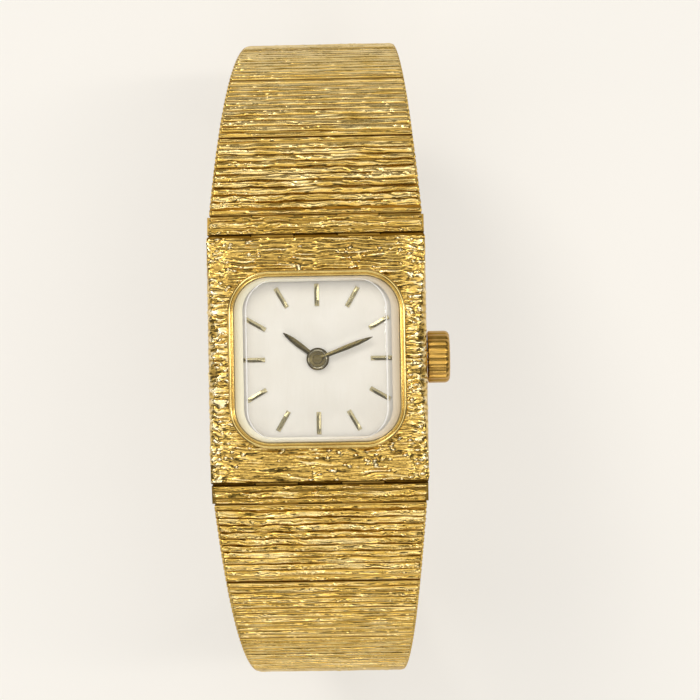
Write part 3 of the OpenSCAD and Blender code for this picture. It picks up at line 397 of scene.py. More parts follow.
def rowTree():
    c = rowSettings
    tree, g = newTree("carvedRows", ["Rows", "Across"], [
        "Pitch", "Arc Radius", "Arc Y", "Arc Z", "First Turn", "Turn Step", "First Width", "Last Width",
        "Side", "Crest Half", "Drop", "Foot", "Proud", "Bead", "Strand", "First Relief", "Last Relief",
        "Border Narrow", "Border Shift", "Closing", "Start", "Seed"])
    add, less, times, over, raised, most, least = arithmetic(tree)

    # one bar: a grid rolled into a closed flat-topped section, with a rounded bead at each end
    grid = put(tree, "GeometryNodeMeshGrid", {"Size X": 1.0, "Size Y": 1.0, "Vertices X": g["Across"],
                                              "Vertices Y": c["around"] + 1}).outputs["Mesh"]
    even, roll = position(tree)[:2]
    bunched = times(sums(tree, "SINE", times(even, math.pi)), 0.5)
    across = add(times(even, 1 - c["bunching"]), times(bunched, c["bunching"]))
    half = times(sums(tree, "ABSOLUTE", roll), 2.0)
    top = least(1.0, over(half, c["topShare"]))
    under = most(0.0, over(less(half, c["topShare"]), 1 - c["topShare"]))
    beadShare = over(g["Bead"], g["First Width"])
    inBead = most(0.0, over(less(sums(tree, "ABSOLUTE", across), less(0.5, beadShare)), beadShare))
    ending = sums(tree, "SQRT", most(0.0, less(1.0, times(inBead, inBead))))
    side = times(times(times(sums(tree, "SIGN", roll), g["Crest Half"]), times(top, less(1.0, under))),
                 ending)
    full = less(less(add(g["Drop"], g["Foot"]), times(g["Drop"], raised(top, 4.0))), times(g["Foot"], under))
    up = less(times(full, ending), less(add(g["Drop"], g["Foot"]), g["Proud"]))
    bar = moved(tree, stored(tree, grid, "shoulder", add(top, under)), vectorOf(tree, across, side, up))

    # one bar on each point of a row of points, which know their number
    line = put(tree, "GeometryNodeMeshLine", {"Count": g["Rows"], "Offset": (0, 0, 0)}).outputs["Mesh"]
    numbered = stored(tree, line, "rowNumber", put(tree, "GeometryNodeInputIndex").outputs[0])
    laid = put(tree, "GeometryNodeInstanceOnPoints", {"Points": numbered, "Instance": bar})
    real = put(tree, "GeometryNodeRealizeInstances", {0: laid.outputs["Instances"]}).outputs[0]
    number, shoulder = named(tree, "rowNumber"), named(tree, "shoulder")
    share = over(add(number, 0.5), g["Rows"])
    u, t0, n = position(tree)

    def fromTo(first, last):
        return add(g[first], times(share, less(g[last], g[first])))

    # the rows beside a hinge are narrower and stand off from it
    isFirst = sums(tree, "LESS_THAN", number, 0.5)
    isLast = sums(tree, "GREATER_THAN", number, less(g["Rows"], 1.5))
    border = most(isFirst, isLast)
    t1 = add(times(t0, less(1.0, times(border, less(1.0, g["Border Narrow"])))),
             times(less(isFirst, isLast), g["Border Shift"]))
    x = times(u, fromTo("First Width", "Last Width"))
    along = add(g["Start"], add(times(add(number, 0.5), g["Pitch"]), t1))
    relief = fromTo("First Relief", "Last Relief")
    calmest, calmRelief, growth = c["wild"]
    wild = least(1.0, most(calmest, times(less(relief, calmRelief), growth)))

    def carving(name):
        acrossScale, alongScale, shift, detail, weight = c["noise"][name]
        where = vectorOf(tree, times(x, acrossScale), times(along, alongScale), add(g["Seed"], shift))
        cut = put(tree, "ShaderNodeTexNoise", {"Vector": where, "Scale": 1.0, "Detail": detail})
        return times(less(times(cut.outputs[0], 2.0), 1.0), weight)

    def thread(phase, share):
        inside = sums(tree, "ABSOLUTE", less(sums(tree, "FRACT", phase), 0.5))
        return most(0.0, less(1.0, raised(over(inside, share), 2.0)))

    # the carving: strands along the rows that wander, fork and break, and clusters of small beads
    bend = times(add(carving("bend"), carving("bendFine")), wild)
    (spacing, wide, high), (otherSpacing, otherWide, otherHigh) = c["strands"]
    strand = times(thread(over(add(along, bend), times(g["Strand"], spacing)), wide), high)
    other = times(thread(over(less(along, times(bend, 0.8)), times(g["Strand"], otherSpacing)), otherWide),
                  otherHigh)
    choice = least(1.0, most(0.0, add(0.5, carving("choice"))))
    lowest, usual = c["tall"]
    tall = most(lowest, add(usual, carving("tall")))
    long = times(add(times(strand, choice), times(other, less(1.0, choice))), tall)
    dots = put(tree, "ShaderNodeTexVoronoi", {
        "Vector": vectorOf(tree, times(x, c["ballsAcross"]), times(along, c["ballsAlong"]), g["Seed"]),
        "Scale": 1.0}).outputs["Distance"]
    ball = sums(tree, "SQRT", most(0.0, less(1.0, raised(over(dots, c["ball"]), 2.0))))
    clustered = sums(tree, "GREATER_THAN", carving("cluster"), c["clusterFrom"])
    value = add(add(long, times(times(ball, clustered), c["ballHeight"])), carving("grain"))
    onTop = most(0.0, less(1.0, raised(shoulder, 5.0)))

    # the cuts between rows close up here and there, and stay open beside a hinge
    closing = most(0.0, least(1.0, add(g["Closing"], times(carving("closing"), add(0.7, times(wild, 1.3))))))
    filled = times(times(times(closing, less(1.0, border)), least(1.0, raised(shoulder, 4.0))),
                   times(g["Drop"], c["fill"]))
    height = add(add(n, filled), times(times(value, relief), onTop))
    wander = times(times(times(carving("wander"), wild), less(1.0, border)), c["wander"])
    turned = add(add(g["First Turn"], times(add(number, 0.5), g["Turn Step"])),
                 over(add(t1, wander), g["Arc Radius"]))
    far = add(g["Arc Radius"], height)
    y = times(g["Side"], add(g["Arc Y"], times(far, sums(tree, "SINE", turned))))
    z = add(g["Arc Z"], times(far, sums(tree, "COSINE", turned)))
    # what the finish reads: painted highlight on the crests and on the flatter far rows, which are paler, and
    # painted shade in the cuts, which are darker
    cutShade = times(less(least(1.0, raised(shoulder, 5.0)), times(closing, 0.8)),
                     less(0.42, times(border, 0.46)))
    shade = less(add(less(0.60, times(relief, 2.0)), times(value, add(0.08, times(relief, 3.8)))), cutShade)
    carved = moved(tree, stored(tree, real, "relief", shade),
                   vectorOf(tree, times(x, mm), times(y, mm), times(z, mm)))
    joined = put(tree, "GeometryNodeMergeByDistance", {"Geometry": carved, "Distance": c["merge"]})
    smooth = put(tree, "GeometryNodeSetShadeSmooth", {0: joined.outputs[0]})
    endTree(tree, smooth.outputs[0], g["Finish"])
    return tree


def reliefAt(s):
    far = min(1.0, s / rowSettings["fade"])
    return rowSettings["reliefHead"] + (rowSettings["reliefFar"] - rowSettings["reliefHead"]) * far


def closingAt(half, s):
    near, far = rowSettings["closing"][half]
    return near + (far - near) * min(1.0, s / rowSettings["closingFade"])


def rowStretches(half):
    # for each piece of one half: node, rows, pitch, on the lower arc or not, first turn, step, start
    stretches = [("end_link_" + half, loop["linkRows"], loop["link"] / loop["linkRows"], False, slope,
                  linkTurn / loop["linkRows"], 0.0)]
    for k in range(2 * loop["panels"]):
        lower = k >= loop["panels"]
        step = lowerStep if lower else upperStep
        first = (k - (loop["panels"] if lower else 0)) * loop["rows"]
        start = (math.pi / 2 if lower else slope + linkTurn) + first * step
        stretches.append((f"mesh_{half}_{k + 1}", loop["rows"], loop["pitch"], lower, start, step,
                          loop["link"] + k * loop["rows"] * loop["pitch"]))
    return stretches


def carvedRows(tree, half, side):
    c = rowSettings
    for node, rows, pitch, lower, start, step, s0 in rowStretches(half):
        s1 = s0 + rows * pitch
        link = s0 == 0
        stronger = c["linkRelief"] if link else 1.0
        madeBy(tree, "carvedRows_" + node, node, {
            "Rows": rows, "Across": c["acrossHidden" if lower else "across"], "Pitch": pitch,
            "Arc Radius": lowerR if lower else upperR, "Arc Y": lowerY if lower else upperY, "Arc Z": loopZ,
            "First Turn": start, "Turn Step": step, "First Width": widthAt(s0) + c["overhang"],
            "Last Width": widthAt(s1) + c["overhang"], "Side": side,
            "Crest Half": c["crestHalf"] * pitch / loop["pitch"], "Drop": c["linkDrop" if link else "drop"],
            "Foot": c["foot"], "Proud": c["proud"] + (c["linkProud"] if link else 0.0), "Bead": c["bead"],
            "Strand": c["strand"], "First Relief": reliefAt(s0) * stronger,
            "Last Relief": reliefAt(s1) * stronger, "Border Narrow": c["borderNarrow"],
            "Border Shift": c["borderShift"], "Closing": closingAt(half, s0), "Start": s0,
            "Seed": float(c["seed"] + (c["seedStep"] if side < 0 else 0)),
            "Finish": materials["rowBarkGold"]})


rowMaker = rowTree()
carvedRows(rowMaker, "12", 1.0)
carvedRows(rowMaker, "6", -1.0)
print("carved rows laid")

# the carved head, a skin of bark over the case
# noise: cycles per millimetre across and along, shift of the seed, weight
# strands: spacing as a share of the pitch, sharpness, height; tall: lowest and usual height
headSettings = {
    "stepY": 0.050, "stepX": 0.100, "lift": 0.02, "relief": 0.19, "pitch": 0.36, "down": 3.7, "endGap": 0.13,
    "sunk": -0.22, "wall": 0.14, "hole": 6.72, "holeR": 3.1, "edge": (6.5, 7.4), "corner": (5.2, 6.8),
    "comb": 0.50, "strands": ((1.0, 1.7, 1.0), (0.7, 1.8, 0.8)), "tall": (0.12, 0.55),
    "beads": 0.33, "beadHeight": 0.9, "beadShare": 0.10, "seed": 4.0,
    "noise": {"bend": (0.20, 0.5, 0, 0.5), "bendFine": (0.75, 1.2, 8, 0.17), "choice": (0.42, 1.3, 17, 1.0),
              "tall": (0.5, 2.0, 31, 0.75), "stackBend": (1, 1, 5, 0.9), "stack": (1.2, 1.6, 3, 0.5),
              "comb": (0.0, 0.9, 40, 0.24), "rightComb": (1.1, 1.3, 44, 0.30),
              "leftComb": (1.1, 1.3, 48, 0.30), "rightTooth": (1.37, 1.1, 9, 0.75),
              "leftTooth": (1.37, 1.1, 2, 0.75),
              "beads": (0.35, 0.5, 90, 0.8), "grain": (4.0, 7.0, 60, 0.12)}}


def smoothStep(a, b, v):
    t = min(1.0, max(0.0, (v - a) / (b - a)))
    return t * t * (3 - 2 * t)


def ridgeOf(phase, sharp):
    return 1 - abs(2 * (phase - math.floor(phase)) - 1) ** sharp


def roughAt(name, across, along):
    acrossScale, alongScale, shift, weight = headSettings["noise"][name]
    where = Vector((across * acrossScale, along * alongScale, headSettings["seed"] + shift))
    return noise.noise(where) * weight


def sideHeight(x, y, drop):
    # teeth along the long sides, and stacked nuggets at the corners
    d, hand = abs(x) + drop, "right" if x > 0 else "left"
    where = Vector((x * 1.05, y * 2.5 + roughAt("stackBend", x, y), headSettings["seed"] + drop))
    near, far = noise.voronoi(where)[0][:2]
    stack = min(1.0, (far - near) * 2.4) ** 0.7 * (0.62 + roughAt("stack", x, y))
    comb = (y + roughAt("comb", x, y) + roughAt(hand + "Comb", d, y)) / headSettings["comb"]
    tooth = math.floor(comb)
    sized = 0.62 + roughAt(hand + "Tooth", tooth, d)
    side = max(0.0, 1 - abs(2 * (comb - tooth) - 1) ** 2.0) ** 0.8 * sized
    corner = smoothStep(*headSettings["corner"], abs(y))
    return (side * (1 - corner) + stack * corner) * 1.05


def barkHeight(x, y, drop):
    # strands across the case that wander, fork and break, with small beads here and there
    h = headSettings
    edge = smoothStep(*h["edge"], abs(x) + drop)
    bend = roughAt("bend", x, y) + roughAt("bendFine", x, y)
    (spacing, sharp, high), (otherSpacing, otherSharp, otherHigh) = h["strands"]
    strand = ridgeOf((y + bend) / (h["pitch"] * spacing), sharp) * high
    other = ridgeOf((y - bend * 0.8 + 0.1) / (h["pitch"] * otherSpacing), otherSharp) * otherHigh
    choice = smoothStep(-0.12, 0.16, roughAt("choice", x, y))
    lowest, usual = h["tall"]
    value = (strand * choice + other * (1 - choice)) * max(lowest, usual + roughAt("tall", x, y))
    if edge > 0:
        value = value * (1 - edge) + (sideHeight(x, y, drop) + value * 0.22) * edge
    distances, centres = noise.voronoi(Vector((x * 1.75, y * 2.2, h["seed"] + 70)))
    chosen = noise.noise(centres[0] * 1.7) + roughAt("beads", x, y) + h["beadShare"]
    if chosen > 0 and distances[0] < h["beads"]:
        value += h["beadHeight"] * math.sqrt(1 - (distances[0] / h["beads"]) ** 2)
    return value + roughAt("grain", x, y)


def caseSection(a, archZ):
    # place and outward direction on the section of the case, a millimetres along it from the middle
    half, r = loop["caseWidth"] / 2, loop["shoulder"]
    flat = half - r
    arc = r * math.pi / 2
    if a <= flat:
        x, z, nx, nz = a, topH, 0.0, 1.0
    elif a <= flat + arc:
        turn = (a - flat) / r
        x, z = flat + r * math.sin(turn), topH - r + r * math.cos(turn)
        nx, nz = math.sin(turn), math.cos(turn)
    else:
        x, z, nx, nz = half, topH - r - (a - flat - arc), 1.0, 0.0
    if z > archZ:
        z, nz = archZ, max(nz, 0.35)
    size = math.hypot(nx, nz)
    return x, z, nx / size, nz / size


def inHole(x, y):
    # whether a place lies under the rim and the crystal
    hole, r = headSettings["hole"], headSettings["holeR"]
    qx, qy = abs(x) - (hole - r), abs(y) - (hole - r)
    return math.hypot(max(qx, 0), max(qy, 0)) + min(max(qx, qy), 0) < r


reach = loop["caseLength"] / 2 - headSettings["endGap"]


def headSkin(name, fromY, toY):
    # one half of the skin, between two places along the case
    h = headSettings
    flat = loop["caseWidth"] / 2 - loop["shoulder"]
    total = flat + loop["shoulder"] * math.pi / 2 + h["down"]
    columns = int(round(total / h["stepX"]))
    across = [total * i / columns for i in range(-columns, columns + 1)]
    rows = int(round((toY - fromY) / h["stepY"]))
    points, paintedLightShares = [], []
    for j in range(rows + 1):
        y = fromY + (toY - fromY) * j / rows
        archZ = topH - archR + math.sqrt(archR ** 2 - y ** 2)
        toEnd = reach - abs(y)
        for i, d in enumerate(across):
            a, sign = abs(d), (1 if d >= 0 else -1)
            x, z, nx, nz = caseSection(a, archZ)
            drop = max(0.0, a - flat)
            value = barkHeight(sign * x, y, drop)
            fade = (1.0 - 0.72 * smoothStep(0.3, 1.4, drop)) * (0.55 + 0.45 * smoothStep(0.0, 0.15, toEnd))
            up = h["lift"] + h["relief"] * value * fade
            if toEnd < 0.001 or i in (0, len(across) - 1):
                up = h["sunk"]
            points.append((sign * (x + up * nx) * mm, (y + y / archR * up * nz) * mm,
                           (caseZ + z + up * nz) * mm))
            # painted highlight: the share the finish reads is higher, so paler, on the crests of the bark
            paintedLightShares.append(min(1.0, max(0.0, 0.12 + 0.72 * value)))
    n = len(across)
    faces = []
    for j in range(rows):
        for i in range(n - 1):
            if not inHole((across[i] + across[i + 1]) / 2, fromY + (toY - fromY) * (j + 0.5) / rows):
                a = j * n + i
                faces.append((a, a + 1, a + n + 1, a + n))
    piece = pieceFrom(name, points, faces, materials["headBarkGold"], "case")
    bm = bmesh.new()
    bm.from_mesh(piece.data)
    layer = bm.verts.layers.float.new("relief")
    for vert, value in zip(bm.verts, paintedLightShares):
        vert[layer] = value
    bmesh.ops.delete(bm, geom=[v for v in bm.verts if not v.link_faces], context="VERTS")
    bm.to_mesh(piece.data)
    bm.free()
    wall = piece.modifiers.new("wall", "SOLIDIFY")
    wall.thickness = h["wall"] * mm
    wall.offset = -1


headSkin("barkHeadUpper", 0.0, reach)
headSkin("barkHeadLower", -reach, 0.0)
print("head carved")


# outlines with round corners, for the rim and the crystal
def cushionLoop(width, length, r, count=28, straight=8):
    points = []
    cx, cy = width / 2 - r, length / 2 - r
    corners = [(cx, cy, 0), (-cx, cy, 90), (-cx, -cy, 180), (cx, -cy, 270)]
    for k, (x, y, start) in enumerate(corners):
        for i in range(count + 1):
            a = math.radians(start + 90 * i / count)
            points.append((x + r * math.cos(a), y + r * math.sin(a)))
        nx, ny = corners[(k + 1) % 4][:2]
        a = math.radians(start + 90)
        p = (x + r * math.cos(a), y + r * math.sin(a))
        q = (nx + r * math.cos(a), ny + r * math.sin(a))
        for i in range(1, straight):
            points.append((p[0] + (q[0] - p[0]) * i / straight, p[1] + (q[1] - p[1]) * i / straight))
    return points


def ringPoints(rings):
    # rings of equal length, each with a height over the foot of the case
    return [(x * mm, y * mm, (caseZ + z) * mm) for ring, z in rings for x, y in ring]


# section of the rim: steps inwards from its outside, and heights over its seat
rimSettings = {"width": 13.9, "r": 3.3, "cornerSteps": 40, "sideSteps": 10, "section": [
    (0.0, 0.0), (0.0, 0.80), (0.015, 0.93), (0.05, 1.03), (0.11, 1.10), (0.18, 1.12), (0.25, 1.10),
    (0.30, 1.04), (0.325, 0.98), (0.345, 0.99), (0.375, 1.04), (0.42, 1.07), (0.465, 1.05), (0.50, 0.98),
    (0.515, 0.88), (0.52, 0.0)]}


def rimPiece():
    c = rimSettings
    rings = []
    for inward, height in c["section"]:
        width = c["width"] - 2 * inward
        ring = cushionLoop(width, width, c["r"] - inward, c["cornerSteps"], c["sideSteps"])
        rings.append((ring, seatZ + height))
    faces = ringFaces(len(rings[0][0]), len(rings), closed=True)
    rim = pieceFrom("polishedRim", ringPoints(rings), faces, materials["polishedRimGold"], "case")
    outwardNormals(rim.data)
    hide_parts("bezel_rim")


crystalSettings = {"side": 12.82, "r": 2.76, "bevelX": 1.05, "bevelY": 0.24, "flatRound": 0.45, "proud": 0.55,
                   "skirt": 0.6, "skirtEnd": 0.34, "skirtRound": 0.5, "hollow": 0.45, "overlap": 0.12}


def crystalPiece():
    c = crystalSettings
    roof, top, low = seatZ + c["hollow"], rimTop + c["proud"], rimTop - c["overlap"]
    outer = cushionLoop(c["side"], c["side"], c["r"])
    flat = cushionLoop(c["side"] - 2 * c["bevelX"], c["side"] - 2 * c["bevelY"], c["r"] - c["flatRound"])
    inner = cushionLoop(c["side"] - 2 * c["skirt"], c["side"] - 2 * c["skirtEnd"], c["r"] - c["skirtRound"])

    def between(share):
        return [(a[0] + (b[0] - a[0]) * share, a[1] + (b[1] - a[1]) * share) for a, b in zip(outer, flat)]

    def shrunk(ring, share):
        return [(x * share, y * share) for x, y in ring]

    # from the middle of the hollow, round the skirt, up the bevel and to the middle of the flat
    rings = [(shrunk(inner, 0.02), roof), (shrunk(inner, 0.5), roof), (shrunk(inner, 0.90), roof),
             (inner, seatZ), (outer, low - 0.1), (outer, low), (between(0.03), low + 0.05),
             (between(0.5), (low + top) / 2 + 0.02), (between(0.85), top - 0.10), (between(0.90), top - 0.07),
             (between(0.97), top - 0.03), (between(1.0), top - 0.013), (shrunk(flat, 0.99), top - 0.004),
             (shrunk(flat, 0.975), top), (shrunk(flat, 0.5), top), (shrunk(flat, 0.02), top)]
    seatRing, slopeRings, paintedHighlightRings = 3, (4, 5, 6), (9, 10)
    n = len(outer)
    faces = ringFaces(n, len(rings))
    faces.append(tuple(range(n - 1, -1, -1)))
    faces.append(tuple(range((len(rings) - 1) * n, len(rings) * n)))
    piece = pieceFrom("bevelledCrystal", ringPoints(rings), faces, materials["clearCrystal"], "case")
    outwardNormals(piece.data)
    # the seat ring is painted pale as painted light seen through the bevel
    piece.data.materials.append(materials["paintedBevelLight"])
    for k in range(n):
        piece.data.polygons[seatRing * n + k].material_index = 1
    for name, marked in (("slope", slopeRings), ("edge", paintedHighlightRings)):
        layer = piece.data.attributes.new(name, "FLOAT", "POINT")
        layer.data.foreach_set("value", [1.0 if k // n in marked else 0.0 for k in range(len(rings) * n)])
    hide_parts("crystal")


rimPiece()
crystalPiece()
print("rim and crystal made")

# the twelve markers: bars with two sloping faces, laid by one tree
markerSettings = {"Length": 1.75, "Width": 0.35, "Edge": 0.09, "Ridge": 0.145, "Outer": 5.9,
                  "Outer Diagonal": 6.45}


def markerTree():
    tree, g = newTree("facetedMarkers", [], [*markerSettings, "Height"])
    add, less, times = arithmetic(tree)[:3]
    # a roof-shaped bar: a box whose top middle line is raised
    box = put(tree, "GeometryNodeMeshCube", {"Size": (1, 1, 1), "Vertices X": 3, "Vertices Y": 5,
                                             "Vertices Z": 2})
    x, y, z = position(tree)
    nearRidge = less(1.0, times(sums(tree, "ABSOLUTE", x), 2.0))
    endFade = sums(tree, "LESS_THAN", sums(tree, "ABSOLUTE", y), 0.49)
    rise = times(times(nearRidge, endFade), less(g["Ridge"], g["Edge"]))
    up = times(sums(tree, "GREATER_THAN", z, 0.0), add(g["Edge"], rise))
    bar = moved(tree, box.outputs["Mesh"],
                vectorOf(tree, times(x, g["Width"]), times(less(y, 0.5), g["Length"]), up))
    # twelve points round the dial, the four quarters nearer than the others
    line = put(tree, "GeometryNodeMeshLine", {"Count": 12, "Offset": (0, 0, 0)}).outputs["Mesh"]
    hourNumber = put(tree, "GeometryNodeInputIndex").outputs[0]
    angle = times(hourNumber, math.pi / 6)
    quarter = sums(tree, "COMPARE", sums(tree, "FLOORED_MODULO", hourNumber, 3.0), 0.0, 0.1)
    far = add(g["Outer Diagonal"], times(quarter, less(g["Outer"], g["Outer Diagonal"])))
    at = vectorOf(tree, times(far, sums(tree, "SINE", angle)), times(far, sums(tree, "COSINE", angle)),
                  g["Height"])
    copies = put(tree, "GeometryNodeInstanceOnPoints", {
        "Points": moved(tree, line, at), "Instance": bar,
        "Rotation": vectorOf(tree, 0, 0, times(angle, -1.0))})
    small = put(tree, "GeometryNodeTransform", {"Geometry": copies.outputs["Instances"],
                                                "Scale": (mm, mm, mm)})
    endTree(tree, small.outputs[0], g["Finish"])
    return tree


markers = madeBy(markerTree(), "facetedMarkers", "case", {
    **markerSettings, "Height": caseZ + loop["dialTop"], "Finish": materials["markerGold"]})
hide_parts("hour_markers")

# hands with a raised spine and stepped bosses
# the highlight ring: the ring of the boss that is polished and painted paler as a painted highlight, from and
# to, which is none on the hour hand
hourZ = loop["dialTop"] + 0.2
minuteZ = hourZ + 0.12 + 0.23
handSettings = {
    "leafHourHand": {"node": "hour_hand", "length": 3.4, "width": 0.46, "turn": 308, "z": hourZ, "boss": 0.88,
                     "bore": 0.56, "bossHighlightRing": (0.0, 0.0)},
    "leafMinuteHand": {"node": "minute_hand", "length": 4.65, "width": 0.40, "turn": 69, "z": minuteZ,
                       "boss": 0.745, "bore": 0.36, "bossHighlightRing": (0.65, 0.75)}}
# the leaf as shares of width and length, and the boss as steps inwards with heights
leafOutline = [(-0.36, 0.0), (-0.42, 0.30), (-0.5, 0.55), (-0.45, 0.74), (-0.28, 0.9), (-0.06, 0.995)]
bossSection = [(0.0, 0.0), (0.0, 0.05), (0.09, 0.12), (0.12, 0.12), (0.145, 0.085), (0.18, 0.08)]


def handPiece(name, h):
    points = []
    for share, along in leafOutline:
        x, y = share * h["width"], along * h["length"]
        ridge = 0.07 + 0.05 * min(1.0, abs(x) / (h["width"] * 0.3))
        points += [(x, y, 0.0), (x, y, 0.07), (0.0, y, ridge), (-x, y, 0.07), (-x, y, 0.0)]
    base, corners, count = len(points), 5, 48
    faces = ringFaces(corners, len(leafOutline))
    faces.append(tuple(range(base - corners, base)))
    faces.append(tuple(range(corners - 1, -1, -1)))
    steps = [(h["boss"] - inward, up) for inward, up in bossSection]
    steps = [(h["bore"], 0.0), *steps, (h["bore"], 0.05), (h["bore"], 0.07)]
    for radius, up in steps:
        for i in range(count):
            a = 2 * math.pi * i / count
            points.append((radius * math.cos(a), radius * math.sin(a), up))
    faces += ringFaces(count, len(steps), closed=True, base=base)
    a = -math.radians(h["turn"])
    ca, sa = math.cos(a), math.sin(a)
    points = [((x * ca - y * sa) * mm, (x * sa + y * ca) * mm, (caseZ + h["z"] + up) * mm)
              for x, y, up in points]
    piece = pieceFrom(name, points, faces, materials["handGold"], h["node"], smooth=False)
    outwardNormals(piece.data)
    # the chamfer round the boss is polished, and its paler colour is a painted highlight
    piece.data.materials.append(materials["bossEdgeHighlight"])
    for face in piece.data.polygons:
        near = [math.hypot(*piece.data.vertices[i].co[:2]) / mm for i in face.vertices]
        if h["bossHighlightRing"][0] <= min(near) and max(near) <= h["bossHighlightRing"][1]:
            face.material_index = 1
    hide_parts(h["node"])


for name, values in handSettings.items():
    handPiece(name, values)
print("markers and hands made")

# the crown: soft rounded ribs that run out over its rounded end
crownSettings = {"from": loop["caseWidth"] / 2 + 0.12, "length": 1.76, "r": 2.05, "round": 0.42,
                 "roundSteps": 8, "ribs": 20, "ribSteps": 14, "depth": 0.075, "hole": 0.85, "holeDepth": 0.5,
                 "axis": caseZ + loop["crownAxis"]}


def crownPiece():
    c = crownSettings
    around = c["ribs"] * c["ribSteps"]
    # distance along the axis, radius, share of the rib depth
    profile = [(c["holeDepth"], 0.02, 0.0), (c["holeDepth"], c["hole"], 0.0), (0.0, c["hole"], 0.0),
               (0.0, 1.5, 0.0), (0.0, c["r"] - 0.10, 0.8), (0.05, c["r"] - 0.02, 1.0), (0.12, c["r"], 1.0),
               (0.7, c["r"], 1.0)]
    for i in range(c["roundSteps"] + 1):
        a = math.radians(90 * i / c["roundSteps"])
        share = math.cos(a) ** 0.5 if i < c["roundSteps"] else 0.0
        profile.append((c["length"] - c["round"] * (1 - math.sin(a)) - 0.03,
                        c["r"] - c["round"] * (1 - math.cos(a)), share))
    profile += [(c["length"] - 0.005, 1.2, 0.0), (c["length"], 0.5, 0.0), (c["length"], 0.02, 0.0)]
    points = []
    for along, radius, share in profile:
        for i in range(around):
            a = 2 * math.pi * i / around
            rib = abs(math.cos(a * c["ribs"] / 2)) ** 1.15
            r = radius - c["depth"] * share * (1 - rib)
            points.append(((c["from"] + along) * mm, r * math.sin(a) * mm,
                           (c["axis"] + r * math.cos(a)) * mm))
    faces = ringFaces(around, len(profile))
    faces.append(tuple(range(around)))
    faces.append(tuple(range((len(profile) - 1) * around, len(profile) * around)))
    piece = pieceFrom("ribbedCrown", points, faces, materials["crownGold"], "crown_and_stem")
    outwardNormals(piece.data)
    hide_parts("crown")


crownPiece()
print("crown made")

# finishes of the solids, also of those that a piece replaces; the rest have the plain gold of the mesh
finishes = {
    "headBarkGold": ["case_body"], "dialCream": ["dial"], "markerGold": ["hour_markers"],
    "caseBackGold": ["case_back"], "sealRubber": ["back_gasket"], "crownGold": ["crown"],
    "deepRuby": ["jewels"], "clearCrystal": ["crystal"], "polishedRimGold": ["bezel_rim"],
    "blueSteel": ["hairspring", "bridge_screws"],
    "handGold": ["cannon_pinion", "hour_hand", "minute_hand"], "linkCoreGold": ["end_link_12", "end_link_6"],
    "claspGold": ["clasp_body", "clasp_lever", "catch_plate"],
    "polishedSteel": ["movement_ring", "crown_tube", "winding_stem", "winding_pinion", "sliding_pinion",
                      "ratchet_wheel", "crown_wheel", "click", "escape_wheel", "pallet_fork", "clasp_pin"],
    "movementBrass": ["main_plate", "barrel_bridge", "train_bridge", "balance_cock", "barrel", "centre_wheel",
                      "third_wheel", "fourth_wheel", "balance_wheel", "minute_wheel", "hour_wheel"]}
finishOf = {node: finish for finish, nodes in finishes.items() for node in nodes}
for name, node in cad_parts.items():
    node.data.materials.clear()
    node.data.materials.append(materials[finishOf.get(name, "meshCoreGold")])
print("finishes set")

# the pale floor, a little under the watch, in metres
floorSettings = {"size": 1.1, "under": 6e-5, "colour": (0.50, 0.48, 0.445), "rough": 0.9,
                 "glowColour": (0.50, 0.488, 0.463), "glow": 0.90}
scene.view_settings.view_transform = "Standard"


def floorPiece():
    c = floorSettings
    s, z = c["size"] / 2, -c["under"]
    mesh = bpy.data.meshes.new("paleFloor")
    mesh.from_pydata([(-s, -s, z), (s, -s, z), (s, s, z), (-s, s, z)], [], [(0, 1, 2, 3)])
    floor = bpy.data.objects.new("paleFloor", mesh)
    scene.collection.objects.link(floor)
    mesh.materials.append(shaderOf("paleFloor", Base_Color=(*c["colour"], 1), Roughness=c["rough"],
                                   Emission_Color=(*c["glowColour"], 1), Emission_Strength=c["glow"])[0])


floorPiece()

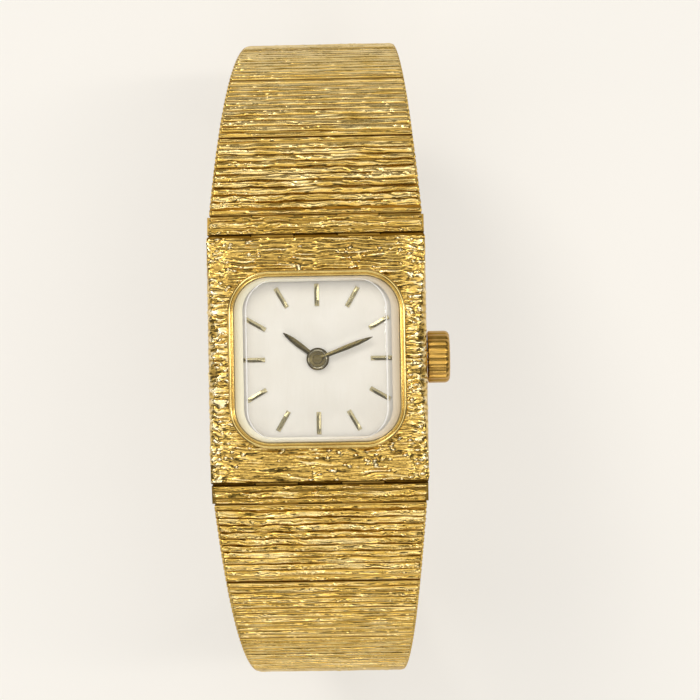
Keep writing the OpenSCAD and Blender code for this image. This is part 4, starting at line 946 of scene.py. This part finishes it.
# lights as glowing panels, in metres
lightColour = (1.0, 0.98, 0.95)
lightSettings = [
    {"name": "overhead", "at": (0.02, 0.10, 0.52), "to": (0, 0.02, 0.03), "size": (0.60, 0.60), "glow": 1.33},
    {"name": "window", "at": (-0.22, 0.30, 0.45), "to": (0, 0, 0.03), "size": (0.15, 0.20), "glow": 8.0},
    {"name": "strip", "at": (0.25, 0.02, 0.47), "to": (0, 0, 0.03), "size": (0.03, 0.30), "glow": 14.0},
    {"name": "frontBox", "at": (0.0, -0.45, 0.25), "to": (0, 0, 0.03), "size": (0.5, 0.15), "glow": 3.05},
    {"name": "backBox", "at": (0.0, 0.50, 0.20), "to": (0, 0, 0.03), "size": (0.5, 0.12), "glow": 0.55},
    {"name": "leftBox", "at": (-0.45, -0.05, 0.20), "to": (0, 0, 0.03), "size": (0.20, 0.5), "glow": 1.0},
    {"name": "rightBox", "at": (0.45, 0.05, 0.20), "to": (0, 0, 0.03), "size": (0.16, 0.5), "glow": 0.8}]
for l in lightSettings:
    data = bpy.data.lights.new(l["name"], "AREA")
    data.shape = "RECTANGLE"
    data.size, data.size_y = l["size"]
    data.energy = l["glow"] * math.pi * l["size"][0] * l["size"][1]
    data.color = lightColour
    lamp = bpy.data.objects.new(l["name"], data)
    lamp.location = l["at"]
    lamp.rotation_euler = (Vector(l["to"]) - Vector(l["at"])).to_track_quat("-Z", "Y").to_euler()
    scene.collection.objects.link(lamp)

# the room lights the gold only a little, and is seen as a pale backdrop
roomSettings = {"light": 0.14, "seen": 0.84}
world = bpy.data.worlds.new("paleRoom")
scene.world = world
world.use_nodes = True
room = world.node_tree
lit = room.nodes["Background"]
seen = put(room, "ShaderNodeBackground")
for node, strength in ((lit, roomSettings["light"]), (seen, roomSettings["seen"])):
    feed(room, node, "Color", (*lightColour, 1))
    feed(room, node, "Strength", strength)
cameraRay = put(room, "ShaderNodeLightPath").outputs["Is Camera Ray"]
either = put(room, "ShaderNodeMixShader", {0: cameraRay, 1: lit.outputs[0], 2: seen.outputs[0]})
feed(room, room.nodes["World Output"], "Surface", either.outputs[0])

# the camera: millimetres from the middle of the dial, turns in degrees, focal length in pixels of the
# picture, which is 700 wide
cameraSettings = {"x": 5.985, "y": 0.921, "above": 156.4, "rx": -0.119, "ry": 1.264, "rz": -1.03,
                  "focal": 1998.2, "picture": 700, "sensor": 36}
c = cameraSettings
cameraData = bpy.data.cameras.new("camera")
camera = bpy.data.objects.new("camera", cameraData)
scene.collection.objects.link(camera)
turn = Matrix.Identity(4)
for axis in "ZYX":
    turn = turn @ Matrix.Rotation(math.radians(c["r" + axis.lower()]), 4, axis)
middle = Vector((c["x"], c["y"], caseZ + loop["dialTop"] + c["above"]))
camera.matrix_world = Matrix.Translation(middle * mm) @ turn
cameraData.sensor_width = c["sensor"]
cameraData.lens = c["focal"] / c["picture"] * c["sensor"]
cameraData.clip_start, cameraData.clip_end = 0.01, 10
scene.camera = camera
print("scene set")
